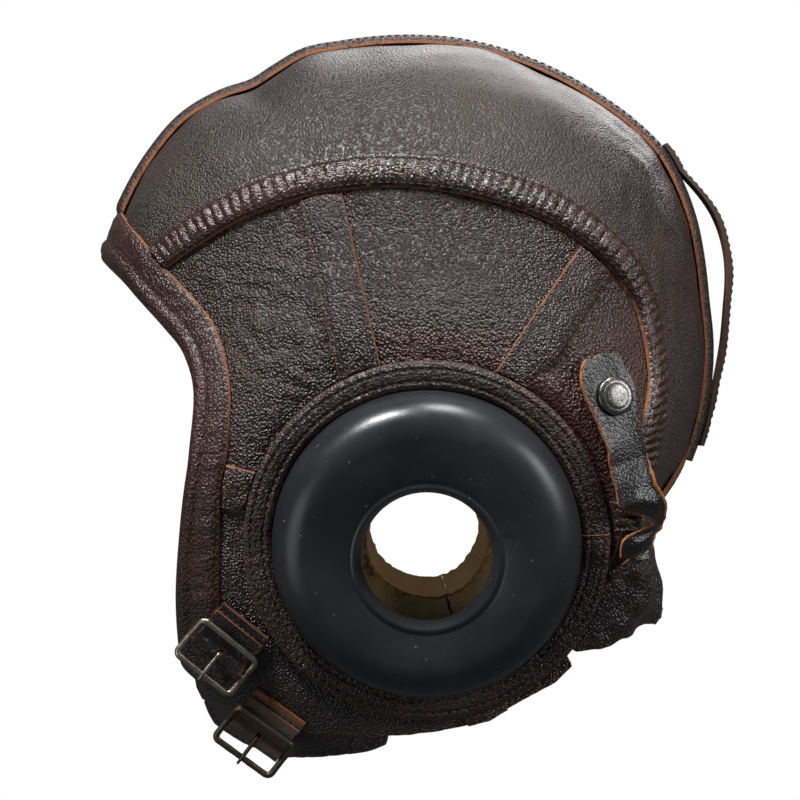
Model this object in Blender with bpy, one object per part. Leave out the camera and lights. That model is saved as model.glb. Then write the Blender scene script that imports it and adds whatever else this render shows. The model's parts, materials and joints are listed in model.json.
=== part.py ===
"""A leather flying helmet with rubber ear cups, in metres, +Z up.

The face looks along -X and the wearer's left side along -Y. The origin is the
middle of the head between the two ear cups. Every leather piece is a patch laid
on one head form and given its thickness along the form's normal.
"""

import math

import bmesh
import bpy
import numpy as np

# Head form: a side profile in polar shares about the crown centre, and a
# super-elliptic cross section from that profile out to the widest point.
HEAD_RADIUS = 0.100
HEAD_HALF_WIDTH = 0.079
CROWN_RISE = 0.70 * HEAD_RADIUS
HEAD_MIDDLE_RISE = 0.30 * HEAD_RADIUS
PROFILE_SHARES = (
    (-90, 1.60), (-80, 1.50), (-70, 1.40), (-60, 1.32), (-55, 1.28), (-50.3, 1.228),
    (-47.5, 1.137), (-44.8, 1.048), (-40.5, 1.004), (-32.6, 0.983), (-20.5, 0.965),
    (-12.3, 0.953), (-3.4, 0.941), (5.7, 0.930), (13.7, 0.938), (22.7, 0.956), (31, 0.970),
    (36.9, 0.976), (43.4, 0.968), (53, 0.953), (62, 0.947), (75, 0.948), (85, 0.953), (95, 0.960),
    (106.6, 0.978), (114, 0.998), (119.7, 0.993), (125.6, 0.994), (131.8, 1.033), (139, 1.068),
    (147, 1.080), (159, 1.090), (168, 1.100), (178, 1.10), (190, 1.12), (200, 1.17), (210, 1.25),
    (220, 1.37), (230, 1.49), (240, 1.59), (250, 1.64), (260, 1.65),
)
SECTION_POWERS = (
    (-90, 3.0), (-66, 4.2), (-49, 3.3), (-30, 2.6), (0, 2.4), (90, 2.4), (180, 2.4), (240, 2.4),
)

# Ear cup, on a flat seat that leans in at the jaw.
CUP_RADIUS = 0.50 * HEAD_RADIUS
CUP_HEIGHT = 0.0205
CUP_WALL = 0.0030
CUP_SHOULDER = 0.0120
CUP_INNER_FALL = 0.0022
CUP_FLANGE = 0.0050
CUP_FLANGE_THICKNESS = 0.0014
LIP_RADIUS = 0.0217
LIP_LAND = 0.0036
LIP_DEPTH = 0.0060
LIP_DROP = 0.0024
EAR_LEAN = math.radians(10)
SEAT_INSET = 0.0020
SEAT_FALL = 0.44 * HEAD_RADIUS
SEAT_RIM_SHARE = 0.13
EAR_HOLE_RADIUS = 0.92 * CUP_RADIUS
EAR_LINING_RADIUS = 0.0196
RING_WIDTH = 0.0092
RING_HEIGHT = 0.0034
RING_ROUND = 0.0012
SEAT_MARGIN = 0.0015

# Leather, lining and the gaps between layers.
LEATHER = 0.0014
BAND_LEATHER = 0.0013
CHAMOIS = 0.0010
LAYER_GAP = 0.0009
LINING_GAP = 0.0014
STRIP_END_GAP = 0.0008
SEAM_GAP = 0.0003
PANEL_GAP = 0.0011
HARDWARE_GAP = 0.0003
CUTTER_OVERRUN = 0.002

# Crown strip, seam bands and seam strips.
CROWN_STRIP_WIDTH = 0.024
CROWN_STRIP_BULGE = 0.0018
CROWN_STRIP_OVERLAP = 0.005
SEAM_BAND_WIDTH = 0.0118
SEAM_BAND_CROWN = 0.0006
SEAM_STRIP_WIDTH = 0.0140

# The seam between side panels and crown, and the edges of the side panels:
# (angle about the ear, share of the head radius beyond the leather ring).
BAND_END_ANGLE = 3
LINING_END_ANGLE = 16
CROWN_SEAM_SHARES = (
    (-14, -0.018), (-4, 0.022), (8, 0.062), (16, 0.115), (26, 0.210), (34, 0.305), (42, 0.390),
    (48, 0.458), (54, 0.505), (62, 0.540), (70, 0.560), (80, 0.573), (90, 0.592), (100, 0.615),
    (110, 0.635), (120, 0.655), (130, 0.668), (137.5, 0.690), (145, 0.715),
)
CHEEK_EDGE_SHARES = (
    (214.5, 0.330), (223.5, 0.262), (233, 0.190), (246, 0.110), (254.5, 0.080), (265, 0.052),
    (278, 0.036), (289, 0.035),
)
SKIRT_EDGE_SHARES = ((-71, 0.035), (-48, 0.036), (-41, 0.038), (-38.5, -0.030), (-16, -0.030))
FLAP_EDGE_SHARES = (
    (216.8, 0.352), (221, 0.374), (226, 0.362), (230.8, 0.340), (237.7, 0.295), (243.3, 0.246),
    (249, 0.196), (255.3, 0.142), (259.3, 0.100),
)
FLAP_ROOT_SHARE = 0.050
CHEEK_LINING_SHARE = -0.02
FLAP_GAP = 0.0016
FLAP_LINING_TURN = 12
LINING_SPLIT_TURN = 2

# Face band, brow to chin: (front angle, front share, rear angle, rear share) about
# the crown centre, each share one of the profile's radius at that angle.
FACE_BAND_SHARES = (
    (168.6, 1.000, 159.2, 1.000),
    (169.4, 0.978, 160.2, 0.968),
    (171.8, 0.915, 163.6, 0.876),
    (175.0, 0.858, 167.8, 0.787),
    (181.0, 0.772, 174.4, 0.677),
    (188.8, 0.702, 184.5, 0.600),
    (198.5, 0.674, 198.5, 0.570),
    (209.6, 0.700, 211.5, 0.590),
    (215.4, 0.725, 218.6, 0.625),
    (222.2, 0.767, 226.6, 0.670),
    (227.9, 0.818, 232.2, 0.722),
    (233.0, 0.870, 237.0, 0.775),
    (237.3, 0.915, 241.0, 0.825),
)
FACE_BAND_STEPS = 20
FACE_FOLD = 0.0012
FACE_INNER_LEAF = 0.0065
FACE_PANEL_INSET = 0.0048
FACE_RING_MARGIN = 0.0040

# Nape panel: the seam from the crown strip to the ring, and the hem.
NAPE_START_ANGLE = -27
NAPE_SEAM_SHARES = ((-33, 0.978), (-39, 0.958), (-43.5, 0.920), (-49.5, 0.850))
NAPE_HEM_SHARES = ((-65.5, 0.864), (-58.5, 0.915), (-53.5, 0.965), (-51, 1.0))
NAPE_RING_ANGLES = (-17, -38)
NAPE_RING_SHARE = -0.018
ELASTIC_ANGLE = -43.5
ELASTIC_WIDTH = 0.010
ELASTIC_THICKNESS = 0.0012
ELASTIC_REACH_SHARE = 0.50

# Seam strips: their angle about the ear at the ring, and at twice its radius.
FRONT_STRIP_ANGLES = (111.5, 107.0)
REAR_STRIP_ANGLES = (61.0, 58.5)
LOWER_STRIP_ANGLES = (-71, -71)
CHEEK_STRIP_ANGLES = (165, 165)

# Goggle tabs behind the ears: angle about the ear and share of the head radius
# beyond the ring at the sewn foot, the snap and the free tip.
TAB_WIDTH = 0.0150
TAB_FOOT_WIDTH = 0.0085
TAB_LEATHER = 0.0016
TAB_FOOT_SHARES = (-5, 0.062)
TAB_SNAP_SHARES = (38.4, 0.138)
TAB_TIP_SHARES = (47.5, 0.205)
TAB_TIP_END_SHARE = 0.06
TAB_BULGE = 0.0042
TAB_BULGE_END_SHARE = 0.72
TAB_FLAT_START_SHARE = 0.50
TAB_FLAT_END_SHARE = 0.80
SNAP_CAP_RADIUS = 0.0063
SNAP_CAP_HEIGHT = 0.0022
SNAP_BARREL_RADIUS = 0.0017
SNAP_SOCKET_RADIUS = 0.0052
SNAP_SOCKET_HEIGHT = 0.0024
SNAP_STUD_RADIUS = 0.0024
SNAP_NECK_SHARE = 0.75
SNAP_STUD_HEIGHT = 0.0018
SNAP_STUD_BASE_RADIUS = 0.0036
SNAP_STUD_BASE = 0.0006
SNAP_CLEARANCE = 0.0006
SNAP_SEAT_GAP = 0.0006

# Rear goggle loop on the crown strip.
LOOP_WIDTH = 0.0140
LOOP_LEATHER = 0.0016
LOOP_TOP_ANGLE = 37.5
LOOP_END_ANGLE = -23.5
LOOP_SEWN_SHARE = 0.09
LOOP_BULGE = 0.0070
LOOP_SKEW_SHARE = 0.65

# Buckles on the left cheek: the tab's sewn foot as (angle about the ear, share of the
# head radius beyond the ring), and the tab's direction below the horizontal.
BUCKLE_WIDTH = 0.0245
BUCKLE_LENGTH = 0.0170
BUCKLE_CORNER = 0.0014
BUCKLE_WIRE = 0.0011
BUCKLE_DISH = 0.0020
BAR_RADIUS = 0.0009
PRONG_RADIUS = 0.0007
PRONG_OVERHANG = 0.0016
PRONG_CLEARANCE = 0.0002
TAB_STRAP_WIDTH = 0.0190
TAB_STRAP_LENGTH = 0.0150
TAB_STRAP_LEATHER = 0.0012
TAB_STRAP_PINCH = 0.0045
TAB_STRAP_LEAF_SHARE = 0.8
PRONG_SLOT_WIDTH = 0.0030
UPPER_BUCKLE_SHARES = (-156.2, 0.044)
LOWER_BUCKLE_SHARES = (-131.0, 0.122)
UPPER_BUCKLE_SLOPE = math.radians(49)
UPPER_BUCKLE_SINK = 0.0009
LOWER_BUCKLE_SLOPE = math.radians(50)

# Chin strap, sewn inside the right chin flap and lying across under the jaw.
CHIN_STRAP_WIDTH = 0.0180
CHIN_STRAP_LEATHER = 0.0018
CHIN_STRAP_SPAN = 0.066
CHIN_STRAP_SAG = 0.0030
CHIN_STRAP_OVERLAP = 0.0015
CHIN_STRAP_GAP = 0.0020
CHIN_STRAP_SHARES = (-131.5, 0.235)

# Mesh density, as the longest side of a facet.
PANEL_STEP = 0.0125
SEAM_STEP = 0.0075
CROWN_STEP = 0.0170
NAPE_GRADING = 1.35
BAND_STEP = 0.0090
LINING_STEP = 0.0210
ROUND_SIDES = 28
SNAP_SIDES = 12
WIRE_SIDES = 6
SHARP_ANGLE = 40
PATH_SAMPLES = 90
STEEP_SHARE = 0.8
CORNER_STEPS = 2
CROWN_STRIP_COLUMNS = 5
LOOP_SPARE_STEPS = 5
RING_PATH_SIDES = 4 * ROUND_SIDES
FACE_FOLD_TURNS = (45, 90, 135)
SHOULDER_STEPS = 4
INNER_SHOULDER_STEPS = 2
LINING_SIDES = 18
FOLD_STEPS = 6
TUCK_STEPS = 6
TAB_STEPS = 18
FLAP_COLUMNS = 4
LINING_COLUMNS = 7
CHEEK_LINING_STEPS = 10
CHEEK_LINING_COLUMNS = 3
CHIN_STRAP_STEPS = 10
PRONG_STEPS = 9
PRONG_LOOP_ANGLES = (-60, -280)

SIDES = {"left": -1, "right": 1}
RING_RADIUS = CUP_RADIUS + SEAM_GAP + RING_WIDTH
SEAT_RADIUS = RING_RADIUS + SEAT_MARGIN
PANEL_TOP = LEATHER
BAND_BASE = LEATHER + LAYER_GAP
BAND_TOP = BAND_BASE + BAND_LEATHER
CENTRE = np.array((0, 0, HEAD_MIDDLE_RISE))
PROBE_SHARE = 0.001
SEARCH_STEPS = 36
SEARCH_REACH = 3 * HEAD_RADIUS
RAY_REACH = 2 * HEAD_RADIUS

# Colours: base colour, roughness and metallic value.
FINISHES = {
    "panel_leather": ((0.055, 0.030, 0.026), 0.50, 0.0),
    "band_leather": ((0.042, 0.022, 0.019), 0.42, 0.0),
    "strap_leather": ((0.050, 0.040, 0.036), 0.45, 0.0),
    "rubber": ((0.012, 0.014, 0.018), 0.38, 0.0),
    "chamois": ((0.50, 0.33, 0.14), 0.95, 0.0),
    "elastic": ((0.16, 0.13, 0.10), 0.85, 0.0),
    "nickel": ((0.46, 0.44, 0.38), 0.35, 1.0),
}


# Curve helpers.
def smooth_curve(values, knots, at):
    """The values at the parameters `at`, by cubic Hermite spans with central slopes."""
    values = np.asarray(values, float)
    knots = np.asarray(knots, float)
    at = np.asarray(at, float)
    slopes = np.gradient(values, knots, axis=0)
    i = np.clip(np.searchsorted(knots, at) - 1, 0, len(knots) - 2)
    span = knots[i + 1] - knots[i]
    s = (at - knots[i]) / span
    if values.ndim > 1:
        span = span[..., None]
        s = s[..., None]
    return (
        (2 * s**3 - 3 * s**2 + 1) * values[i]
        + (s**3 - 2 * s**2 + s) * span * slopes[i]
        + (-2 * s**3 + 3 * s**2) * values[i + 1]
        + (s**3 - s**2) * span * slopes[i + 1]
    )


def arc_lengths(points):
    steps = np.linalg.norm(np.diff(points, axis=0), axis=1)
    return np.concatenate([[0], np.cumsum(steps)])


def resampled(points, count):
    """`count` + 1 points at equal steps along a polyline."""
    points = np.asarray(points, float)
    lengths = arc_lengths(points)
    at = np.linspace(0, lengths[-1], count + 1)
    return np.stack([np.interp(at, lengths, column) for column in points.T], axis=1)


def graded(points, count):
    """`count` + 1 points along a polyline, closer together towards its end."""
    even = resampled(points, count)
    at = count * (1 - (1 - np.linspace(0, 1, count + 1)) ** NAPE_GRADING)
    return np.stack([np.interp(at, np.arange(count + 1), column) for column in even.T], axis=1)


def steps_for(points, step):
    return max(2, math.ceil(arc_lengths(np.asarray(points, float))[-1] / step))


def joined(*paths):
    """Paths end to end, without repeating the points where they meet."""
    return np.concatenate([paths[0]] + [path[1:] for path in paths[1:]])


def smooth_step(share):
    share = np.clip(share, 0, 1)
    return share * share * (3 - 2 * share)


def unit(vectors):
    return vectors / np.linalg.norm(vectors, axis=-1, keepdims=True)


def crossing(path, other):
    """Where two side-view paths cross, as fractional indices into each."""
    for i in range(len(path) - 1):
        for j in range(len(other) - 1):
            a = path[i + 1] - path[i]
            b = other[j + 1] - other[j]
            cross = a[0] * b[1] - a[1] * b[0]
            if cross == 0:
                continue
            c = other[j] - path[i]
            s = (c[0] * b[1] - c[1] * b[0]) / cross
            t = (c[0] * a[1] - c[1] * a[0]) / cross
            if 0 <= s <= 1 and 0 <= t <= 1:
                return i + s, j + t
    raise ValueError("two outlines of the helmet do not meet")


def path_part(path, start, end):
    """The stretch of a path between two fractional indices."""
    index = np.arange(len(path))
    inner = index[(index > start) & (index < end)]
    at = np.concatenate([[start], inner, [end]])
    return np.stack([np.interp(at, index, column) for column in path.T], axis=1)


# The head form.
def periodic(rows):
    angles = [row[0] for row in rows]
    values = [row[1] for row in rows]
    return (
        [values[-1]] + values + [values[0]],
        [angles[-1] - 360] + angles + [angles[0] + 360],
    )


def profile_radius(angle):
    """Radius of the side profile about the crown centre, at angles in degrees."""
    values, knots = periodic(PROFILE_SHARES)
    return HEAD_RADIUS * smooth_curve(values, knots, (angle + 90) % 360 - 90)


def section_power(angle):
    values, knots = periodic(SECTION_POWERS)
    return smooth_curve(values, knots, (angle + 90) % 360 - 90)


def crown_polar(x, z):
    """(angle in degrees, share of the profile's radius) of side-view points."""
    rise = z - CROWN_RISE
    angle = np.degrees(np.arctan2(rise, x))
    return angle, np.hypot(x, rise) / profile_radius(angle)


def plain_depth(x, z):
    angle, share = crown_polar(x, z)
    power = section_power(angle)
    return HEAD_HALF_WIDTH * np.clip(1 - share**power, 0, 1) ** (1 / power)


SEAT_DEPTH = float(plain_depth(np.float64(0), np.float64(0))) - SEAT_INSET


def ear_distance(x, z):
    """Distance from the cup's axis, measured in the plane of the ear seat."""
    return np.hypot(x, z / math.cos(EAR_LEAN))


def half_width(x, z):
    """Half width of the form at side-view points, with the flat ear seat drawn out of it."""
    share = crown_polar(x, z)[1]
    depth = plain_depth(x, z)
    near = smooth_step((SEAT_RADIUS + SEAT_FALL - ear_distance(x, z)) / SEAT_FALL)
    weight = near * smooth_step((1 - share) / SEAT_RIM_SHARE)
    return depth + weight * (SEAT_DEPTH + math.tan(EAR_LEAN) * z - depth)


def inside_form(points):
    x, y, z = np.moveaxis(points, -1, 0)
    return (crown_polar(x, z)[1] < 1) & (np.abs(y) < half_width(x, z))


def on_form(points):
    """The points moved to the form's surface, along lines from the middle of the head."""
    out = unit(np.asarray(points, float) - CENTRE)
    near = np.zeros(out.shape[:-1])
    far = np.full(out.shape[:-1], SEARCH_REACH)
    for _ in range(SEARCH_STEPS):
        middle = (near + far) / 2
        hit = inside_form(CENTRE + out * middle[..., None])
        near = np.where(hit, middle, near)
        far = np.where(hit, far, middle)
    return CENTRE + out * near[..., None]


def form_normal(points):
    """Outward normals of the form at points on its surface."""
    out = unit(points - CENTRE)
    steep = np.abs(out[..., :1]) > STEEP_SHARE
    aside = unit(np.where(steep, np.cross(out, (0, 0, 1)), np.cross(out, (1, 0, 0))))
    across = np.cross(out, aside)
    probe = PROBE_SHARE * HEAD_RADIUS
    first = on_form(points + aside * probe) - on_form(points - aside * probe)
    second = on_form(points + across * probe) - on_form(points - across * probe)
    normal = unit(np.cross(first, second))
    return normal * np.sign(np.sum(normal * out, axis=-1, keepdims=True))


def lifted(points, lift):
    base = on_form(points)
    return base + form_normal(base) * np.asarray(lift)[..., None]


def side_points(flat, side):
    """Side-view points (x, z) taken out to the form on one side."""
    flat = np.asarray(flat, float)
    x, z = np.moveaxis(flat, -1, 0)
    return np.stack([x, side * half_width(x, z), z], axis=-1)


def crown_points(angles, y):
    """Points of the form at profile angles and at a distance y from the middle plane."""
    angles = np.asarray(angles, float)
    y = np.broadcast_to(y, angles.shape)
    power = section_power(angles)
    share = (1 - (np.abs(y) / HEAD_HALF_WIDTH) ** power) ** (1 / power)
    radius = profile_radius(angles) * share
    x = radius * np.cos(np.radians(angles))
    z = CROWN_RISE + radius * np.sin(np.radians(angles))
    return np.stack([x, y, z], axis=-1)


def polar_points(angles, shares, side):
    """Points of the form at profile angles and shares of the profile's radius."""
    angles = np.asarray(angles, float)
    radius = profile_radius(angles) * np.asarray(shares, float)
    x = radius * np.cos(np.radians(angles))
    z = CROWN_RISE + radius * np.sin(np.radians(angles))
    return side_points(np.stack([x, z], axis=-1), side)


def ear_polar(angles, shares):
    """Side-view points at angles about the ear, shares of the head radius beyond the ring."""
    angles = np.radians(np.asarray(angles, float))
    radius = RING_RADIUS + np.asarray(shares, float) * HEAD_RADIUS
    return np.stack([radius * np.cos(angles), radius * np.sin(angles)], axis=-1)


def ear_path(rows, start, end, step):
    """A smooth side-view path through (angle, share) rows, between two angles."""
    angles = [row[0] for row in rows]
    shares = [row[1] for row in rows]
    dense = np.linspace(start, end, PATH_SAMPLES)
    path = ear_polar(dense, smooth_curve(shares, angles, dense))
    return resampled(path, steps_for(path, step))


def ear_arc(radius, start, end, count):
    """A side-view arc about the ear, round in the plane of the seat."""
    angles = np.radians(np.linspace(start, end, count + 1))
    return np.stack([radius * np.cos(angles), radius * math.cos(EAR_LEAN) * np.sin(angles)], axis=1)


def off_ring(flat, margin):
    """Side-view points, moved out where they come nearer to the leather ring than margin."""
    distance = ear_distance(flat[..., 0], flat[..., 1])
    grow = np.maximum(1, (RING_RADIUS + margin) / distance)
    return flat * grow[..., None]


def offset_path(flat, distance, side):
    """A side-view path moved sideways over the form, away from the ear where positive."""
    base = side_points(flat, side)
    along = unit(np.gradient(base, axis=0))
    aside = unit(np.cross(along, form_normal(base)))
    outward = np.sign(np.sum(aside[..., ::2] * flat))
    moved = on_form(base + aside * outward * distance)
    return moved[..., ::2]


# Outlines that several pieces share. All are side-view paths except the face band's.
def face_curve(share, shift, side, step):
    """A path down the face band from the brow to the chin, on the form.

    It starts from the band's front edge where share is 0 and its rear edge where
    share is 1, and lies `shift` further back.
    """
    rows = np.array(FACE_BAND_SHARES)
    front = polar_points(rows[:, 0], rows[:, 1], side)
    rear = polar_points(rows[:, 2], rows[:, 3], side)
    moved = off_ring(rear[:, ::2], FACE_RING_MARGIN)
    rear = np.where(rows[:, 3:] < 1, side_points(moved, side), rear)
    back = unit(rear - front)
    points = front + (rear - front) * share + back * shift
    mirror = points[1] * (1, -1, 1)
    knots = np.arange(-1, len(rows))
    at = np.linspace(0, len(rows) - 1, PATH_SAMPLES)
    dense = smooth_curve(np.vstack([mirror, points]), knots, at)
    return on_form(resampled(dense, steps_for(dense, step)))


def crown_seam(side, offset):
    """The seam between crown and side panels, from the rear of the ring to the brow."""
    first, last = CROWN_SEAM_SHARES[0][0], CROWN_SEAM_SHARES[-1][0]
    path = ear_path(CROWN_SEAM_SHARES, first, last, SEAM_STEP / 2)
    return offset_path(path, offset, side)


def panel_front(side, step):
    """The side-view edge of the panels inside the face band, from brow to chin."""
    return face_curve(0, FACE_PANEL_INSET, side, step)


def nape_seam(side, offset):
    """The seam from the crown strip's edge down to the rear of the ring, on the form."""
    start = crown_points([NAPE_START_ANGLE], side * strip_edge())
    rows = np.array(NAPE_SEAM_SHARES)
    middle = polar_points(rows[:, 0], rows[:, 1], side)
    end = side_points(crown_seam(side, 0)[:1], side)
    points = np.vstack([start, middle, end])
    at = np.linspace(0, len(points) - 1, PATH_SAMPLES)
    dense = smooth_curve(points, np.arange(len(points)), at)
    path = on_form(dense)
    along = unit(np.gradient(path, axis=0))
    down = unit(np.cross(along, form_normal(path)))
    down = down * np.sign(-down[..., 2:])
    return on_form(path + down * offset)


def strip_edge():
    """Half width of the gap that the crown strip covers."""
    return CROWN_STRIP_WIDTH / 2 - CROWN_STRIP_OVERLAP


# Mesh helpers.
def material(finish):
    found = bpy.data.materials.get(finish)
    if found:
        return found
    colour, roughness, metallic = FINISHES[finish]
    made = bpy.data.materials.new(finish)
    made.use_nodes = True
    shader = made.node_tree.nodes["Principled BSDF"]
    shader.inputs["Base Color"].default_value = (*colour, 1)
    shader.inputs["Roughness"].default_value = roughness
    shader.inputs["Metallic"].default_value = metallic
    return made


def new_object(name, vertices, faces, finish, origin=(0, 0, 0)):
    """A closed mesh object whose vertices are given in the helmet's frame."""
    mesh = bpy.data.meshes.new(name)
    local = np.asarray(vertices, float) - np.asarray(origin, float)
    mesh.from_pydata(local.tolist(), [], faces)
    work = bmesh.new()
    work.from_mesh(mesh)
    bmesh.ops.triangulate(work, faces=work.faces)
    bmesh.ops.recalc_face_normals(work, faces=work.faces)
    work.to_mesh(mesh)
    work.free()
    mesh.shade_smooth()
    mesh.set_sharp_from_angle(angle=math.radians(SHARP_ANGLE))
    made = bpy.data.objects.new(name, mesh)
    made.location = origin
    made.data.materials.append(material(finish))
    bpy.context.scene.collection.objects.link(made)
    return made


def slab(name, outer, inner, finish, origin=(0, 0, 0)):
    """A closed sheet between two grids of points."""
    rows, columns = outer.shape[:2]
    count = rows * columns
    index = np.arange(count).reshape(rows, columns)
    faces = []
    for i in range(rows - 1):
        for j in range(columns - 1):
            quad = [index[i, j], index[i + 1, j], index[i + 1, j + 1], index[i, j + 1]]
            faces.append([int(k) for k in quad])
            faces.append([int(k) + count for k in reversed(quad)])
    rim = list(index[0, :]) + list(index[1:, -1]) + list(index[-1, -2::-1]) + list(index[-2:0:-1, 0])
    for a, b in zip(rim, rim[1:] + rim[:1]):
        faces.append([int(a), int(b), int(b) + count, int(a) + count])
    vertices = np.concatenate([outer.reshape(-1, 3), inner.reshape(-1, 3)])
    return new_object(name, vertices, faces, finish, origin)


def patch(name, grid, lift, thickness, finish, origin=(0, 0, 0)):
    """A leather patch laid on the form over a grid of points."""
    base = on_form(grid)
    normal = form_normal(base)
    lift = np.broadcast_to(lift, base.shape[:-1])[..., None]
    thickness = np.broadcast_to(thickness, base.shape[:-1])[..., None]
    return slab(name, base + normal * (lift + thickness), base + normal * lift, finish, origin)


def coons(first, last, start, end):
    """A grid between four edges: first and last run along it, start and end across."""
    s = np.linspace(0, 1, len(first))[:, None, None]
    t = np.linspace(0, 1, len(start))[None, :, None]
    along = (1 - t) * first[:, None] + t * last[:, None]
    across = (1 - s) * start[None] + s * end[None]
    corners = (
        (1 - s) * (1 - t) * first[0] + s * (1 - t) * first[-1]
        + (1 - s) * t * last[0] + s * t * last[-1]
    )
    return along + across - corners


def ruled(first, last, columns):
    t = np.linspace(0, 1, columns + 1)[None, :, None]
    return (1 - t) * first[:, None] + t * last[:, None]


def tube_faces(rings, sides, closed):
    """Faces of a tube of rings, joined end to end or capped."""
    faces = []
    for i in range(rings if closed else rings - 1):
        a = i * sides
        b = (i + 1) % rings * sides
        for j in range(sides):
            k = (j + 1) % sides
            faces.append([a + j, b + j, b + k, a + k])
    if not closed:
        faces.append(list(range(sides)))
        faces.append([(rings - 1) * sides + j for j in range(sides)])
    return faces


def turned(name, profile, frame, sides, finish, origin=(0, 0, 0), drop=None):
    """A closed profile of (radius, height) turned about a frame's axis."""
    centre, across, up, axis = frame
    turns = np.linspace(0, 2 * math.pi, sides, endpoint=False)
    rings = []
    for turn in turns:
        spoke = across * math.cos(turn) + up * math.sin(turn)
        rings.append([
            centre + spoke * radius + axis * height + up * (drop(radius) if drop else 0)
            for radius, height in profile
        ])
    vertices = np.array(rings).reshape(-1, 3)
    return new_object(name, vertices, tube_faces(sides, len(profile), True), finish, origin)


def extruded(name, outline, frame, width, finish, origin):
    """A closed outline of (along, height) extruded across a frame by width."""
    centre, along, across, axis = frame
    ends = [
        [centre + along * a + axis * h + across * side * width / 2 for a, h in outline]
        for side in (-1, 1)
    ]
    vertices = np.array(ends).reshape(-1, 3)
    count = len(outline)
    faces = [list(range(count)), [count + i for i in range(count)]]
    for i in range(count):
        k = (i + 1) % count
        faces.append([i, k, count + k, count + i])
    return new_object(name, vertices, faces, finish, origin)


def cut(target, cutter, operation="DIFFERENCE"):
    """Cut the target with another mesh, or join that mesh to it."""
    modifier = target.modifiers.new(cutter.name, "BOOLEAN")
    modifier.operation = operation
    modifier.object = cutter
    modifier.solver = "EXACT"
    cutter.hide_render = True
    cutter.hide_viewport = False
    cutter.display_type = "WIRE"


def thick_outline(path, thickness):
    """The outline of a strip of the given thickness along a flat path."""
    path = np.asarray(path, float)
    along = unit(np.gradient(path, axis=0))
    aside = np.stack([-along[:, 1], along[:, 0]], axis=1)
    return np.concatenate([path + aside * thickness / 2, (path - aside * thickness / 2)[::-1]])


def arc(centre, radius, start, end, count):
    """Points of a flat arc between two angles in degrees."""
    angles = np.radians(np.linspace(start, end, count + 1))
    return np.stack([
        centre[0] + radius * np.cos(angles),
        centre[1] + radius * np.sin(angles),
    ], axis=1)


# Leather pieces.
def make_crown_strip():
    start = FACE_BAND_SHARES[0][2] - math.degrees(SEAM_GAP / HEAD_RADIUS)
    turn = math.radians(start - NAPE_START_ANGLE)
    angles = np.linspace(start, NAPE_START_ANGLE, math.ceil(turn * HEAD_RADIUS / PANEL_STEP) + 1)
    widths = np.linspace(-1, 1, CROWN_STRIP_COLUMNS)
    grid = np.stack([crown_points(angles, w * CROWN_STRIP_WIDTH / 2) for w in widths], axis=1)
    bulge = CROWN_STRIP_BULGE * (1 - widths**2)
    patch("crown_strip", grid, BAND_BASE, BAND_LEATHER + bulge, "panel_leather")


def make_crown_panel(word, side):
    front = panel_front(side, PANEL_STEP / 2)
    seam = crown_seam(side, PANEL_GAP / 2)[::-1]
    at_front, at_seam = crossing(front[:, ::2], seam)
    start_edge = path_part(front, 0, at_front)
    seam_edge = side_points(path_part(seam, at_seam, len(seam) - 1), side)
    nape_edge = nape_seam(side, -PANEL_GAP / 2)
    nape_edge[-1] = seam_edge[-1]
    angles = np.linspace(panel_brow_angle(), NAPE_START_ANGLE, PATH_SAMPLES)
    strip = crown_points(angles, side * strip_edge())
    start_edge[0] = strip[0]
    nape_edge[0] = strip[-1]
    rows = steps_for(strip, PANEL_STEP)
    columns = steps_for(nape_edge, CROWN_STEP)
    grid = coons(
        graded(strip, rows), graded(seam_edge, rows),
        resampled(start_edge, columns), resampled(nape_edge, columns),
    )
    patch(f"crown_panel_{word}", grid, 0, LEATHER, "panel_leather")


def panel_brow_angle():
    return float(FACE_BAND_SHARES[0][0]) - math.degrees(FACE_PANEL_INSET / profile_radius(
        np.float64(FACE_BAND_SHARES[0][0])))


def sector_panel(name, outline, start, end, side):
    """A side panel from the ear hole out to an outline, between two angles about the ear."""
    gap = math.degrees(PANEL_GAP / 2 / EAR_HOLE_RADIUS)
    inner = ear_arc(EAR_HOLE_RADIUS, start + gap, end - gap, len(outline) - 1)
    reach = np.array([inner[len(inner) // 2], outline[len(outline) // 2]])
    columns = steps_for(reach, PANEL_STEP)
    first = resampled(np.array([inner[0], outline[0]]), columns)
    last = resampled(np.array([inner[-1], outline[-1]]), columns)
    grid = side_points(coons(inner, outline, first, last), side)
    patch(name, grid, 0, LEATHER, "panel_leather")


def ray(angles, shift):
    """A long side-view line out from the ear hole, moved sideways by shift.

    The angles are those at the leather ring and at twice its radius.
    """
    turns = np.radians(np.asarray(angles, float))
    near, far = RING_RADIUS * np.stack([np.cos(turns), np.sin(turns)], axis=1) * [[1], [2]]
    out = unit(far - near)
    aside = np.array((-out[1], out[0])) * shift
    start = near - out * (RING_RADIUS - EAR_HOLE_RADIUS)
    return np.array([start + aside, start + out * RAY_REACH + aside])


def between_rays(path, start, end, step):
    """The stretch of a path about the ear between two angles, less half a panel gap at each."""
    at_start = crossing(path, ray(start, PANEL_GAP / 2))[0] if start is not None else 0
    at_end = crossing(path, ray(end, -PANEL_GAP / 2))[0] if end is not None else len(path) - 1
    part = path_part(path, at_start, at_end)
    return resampled(part, steps_for(part, step))


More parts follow.
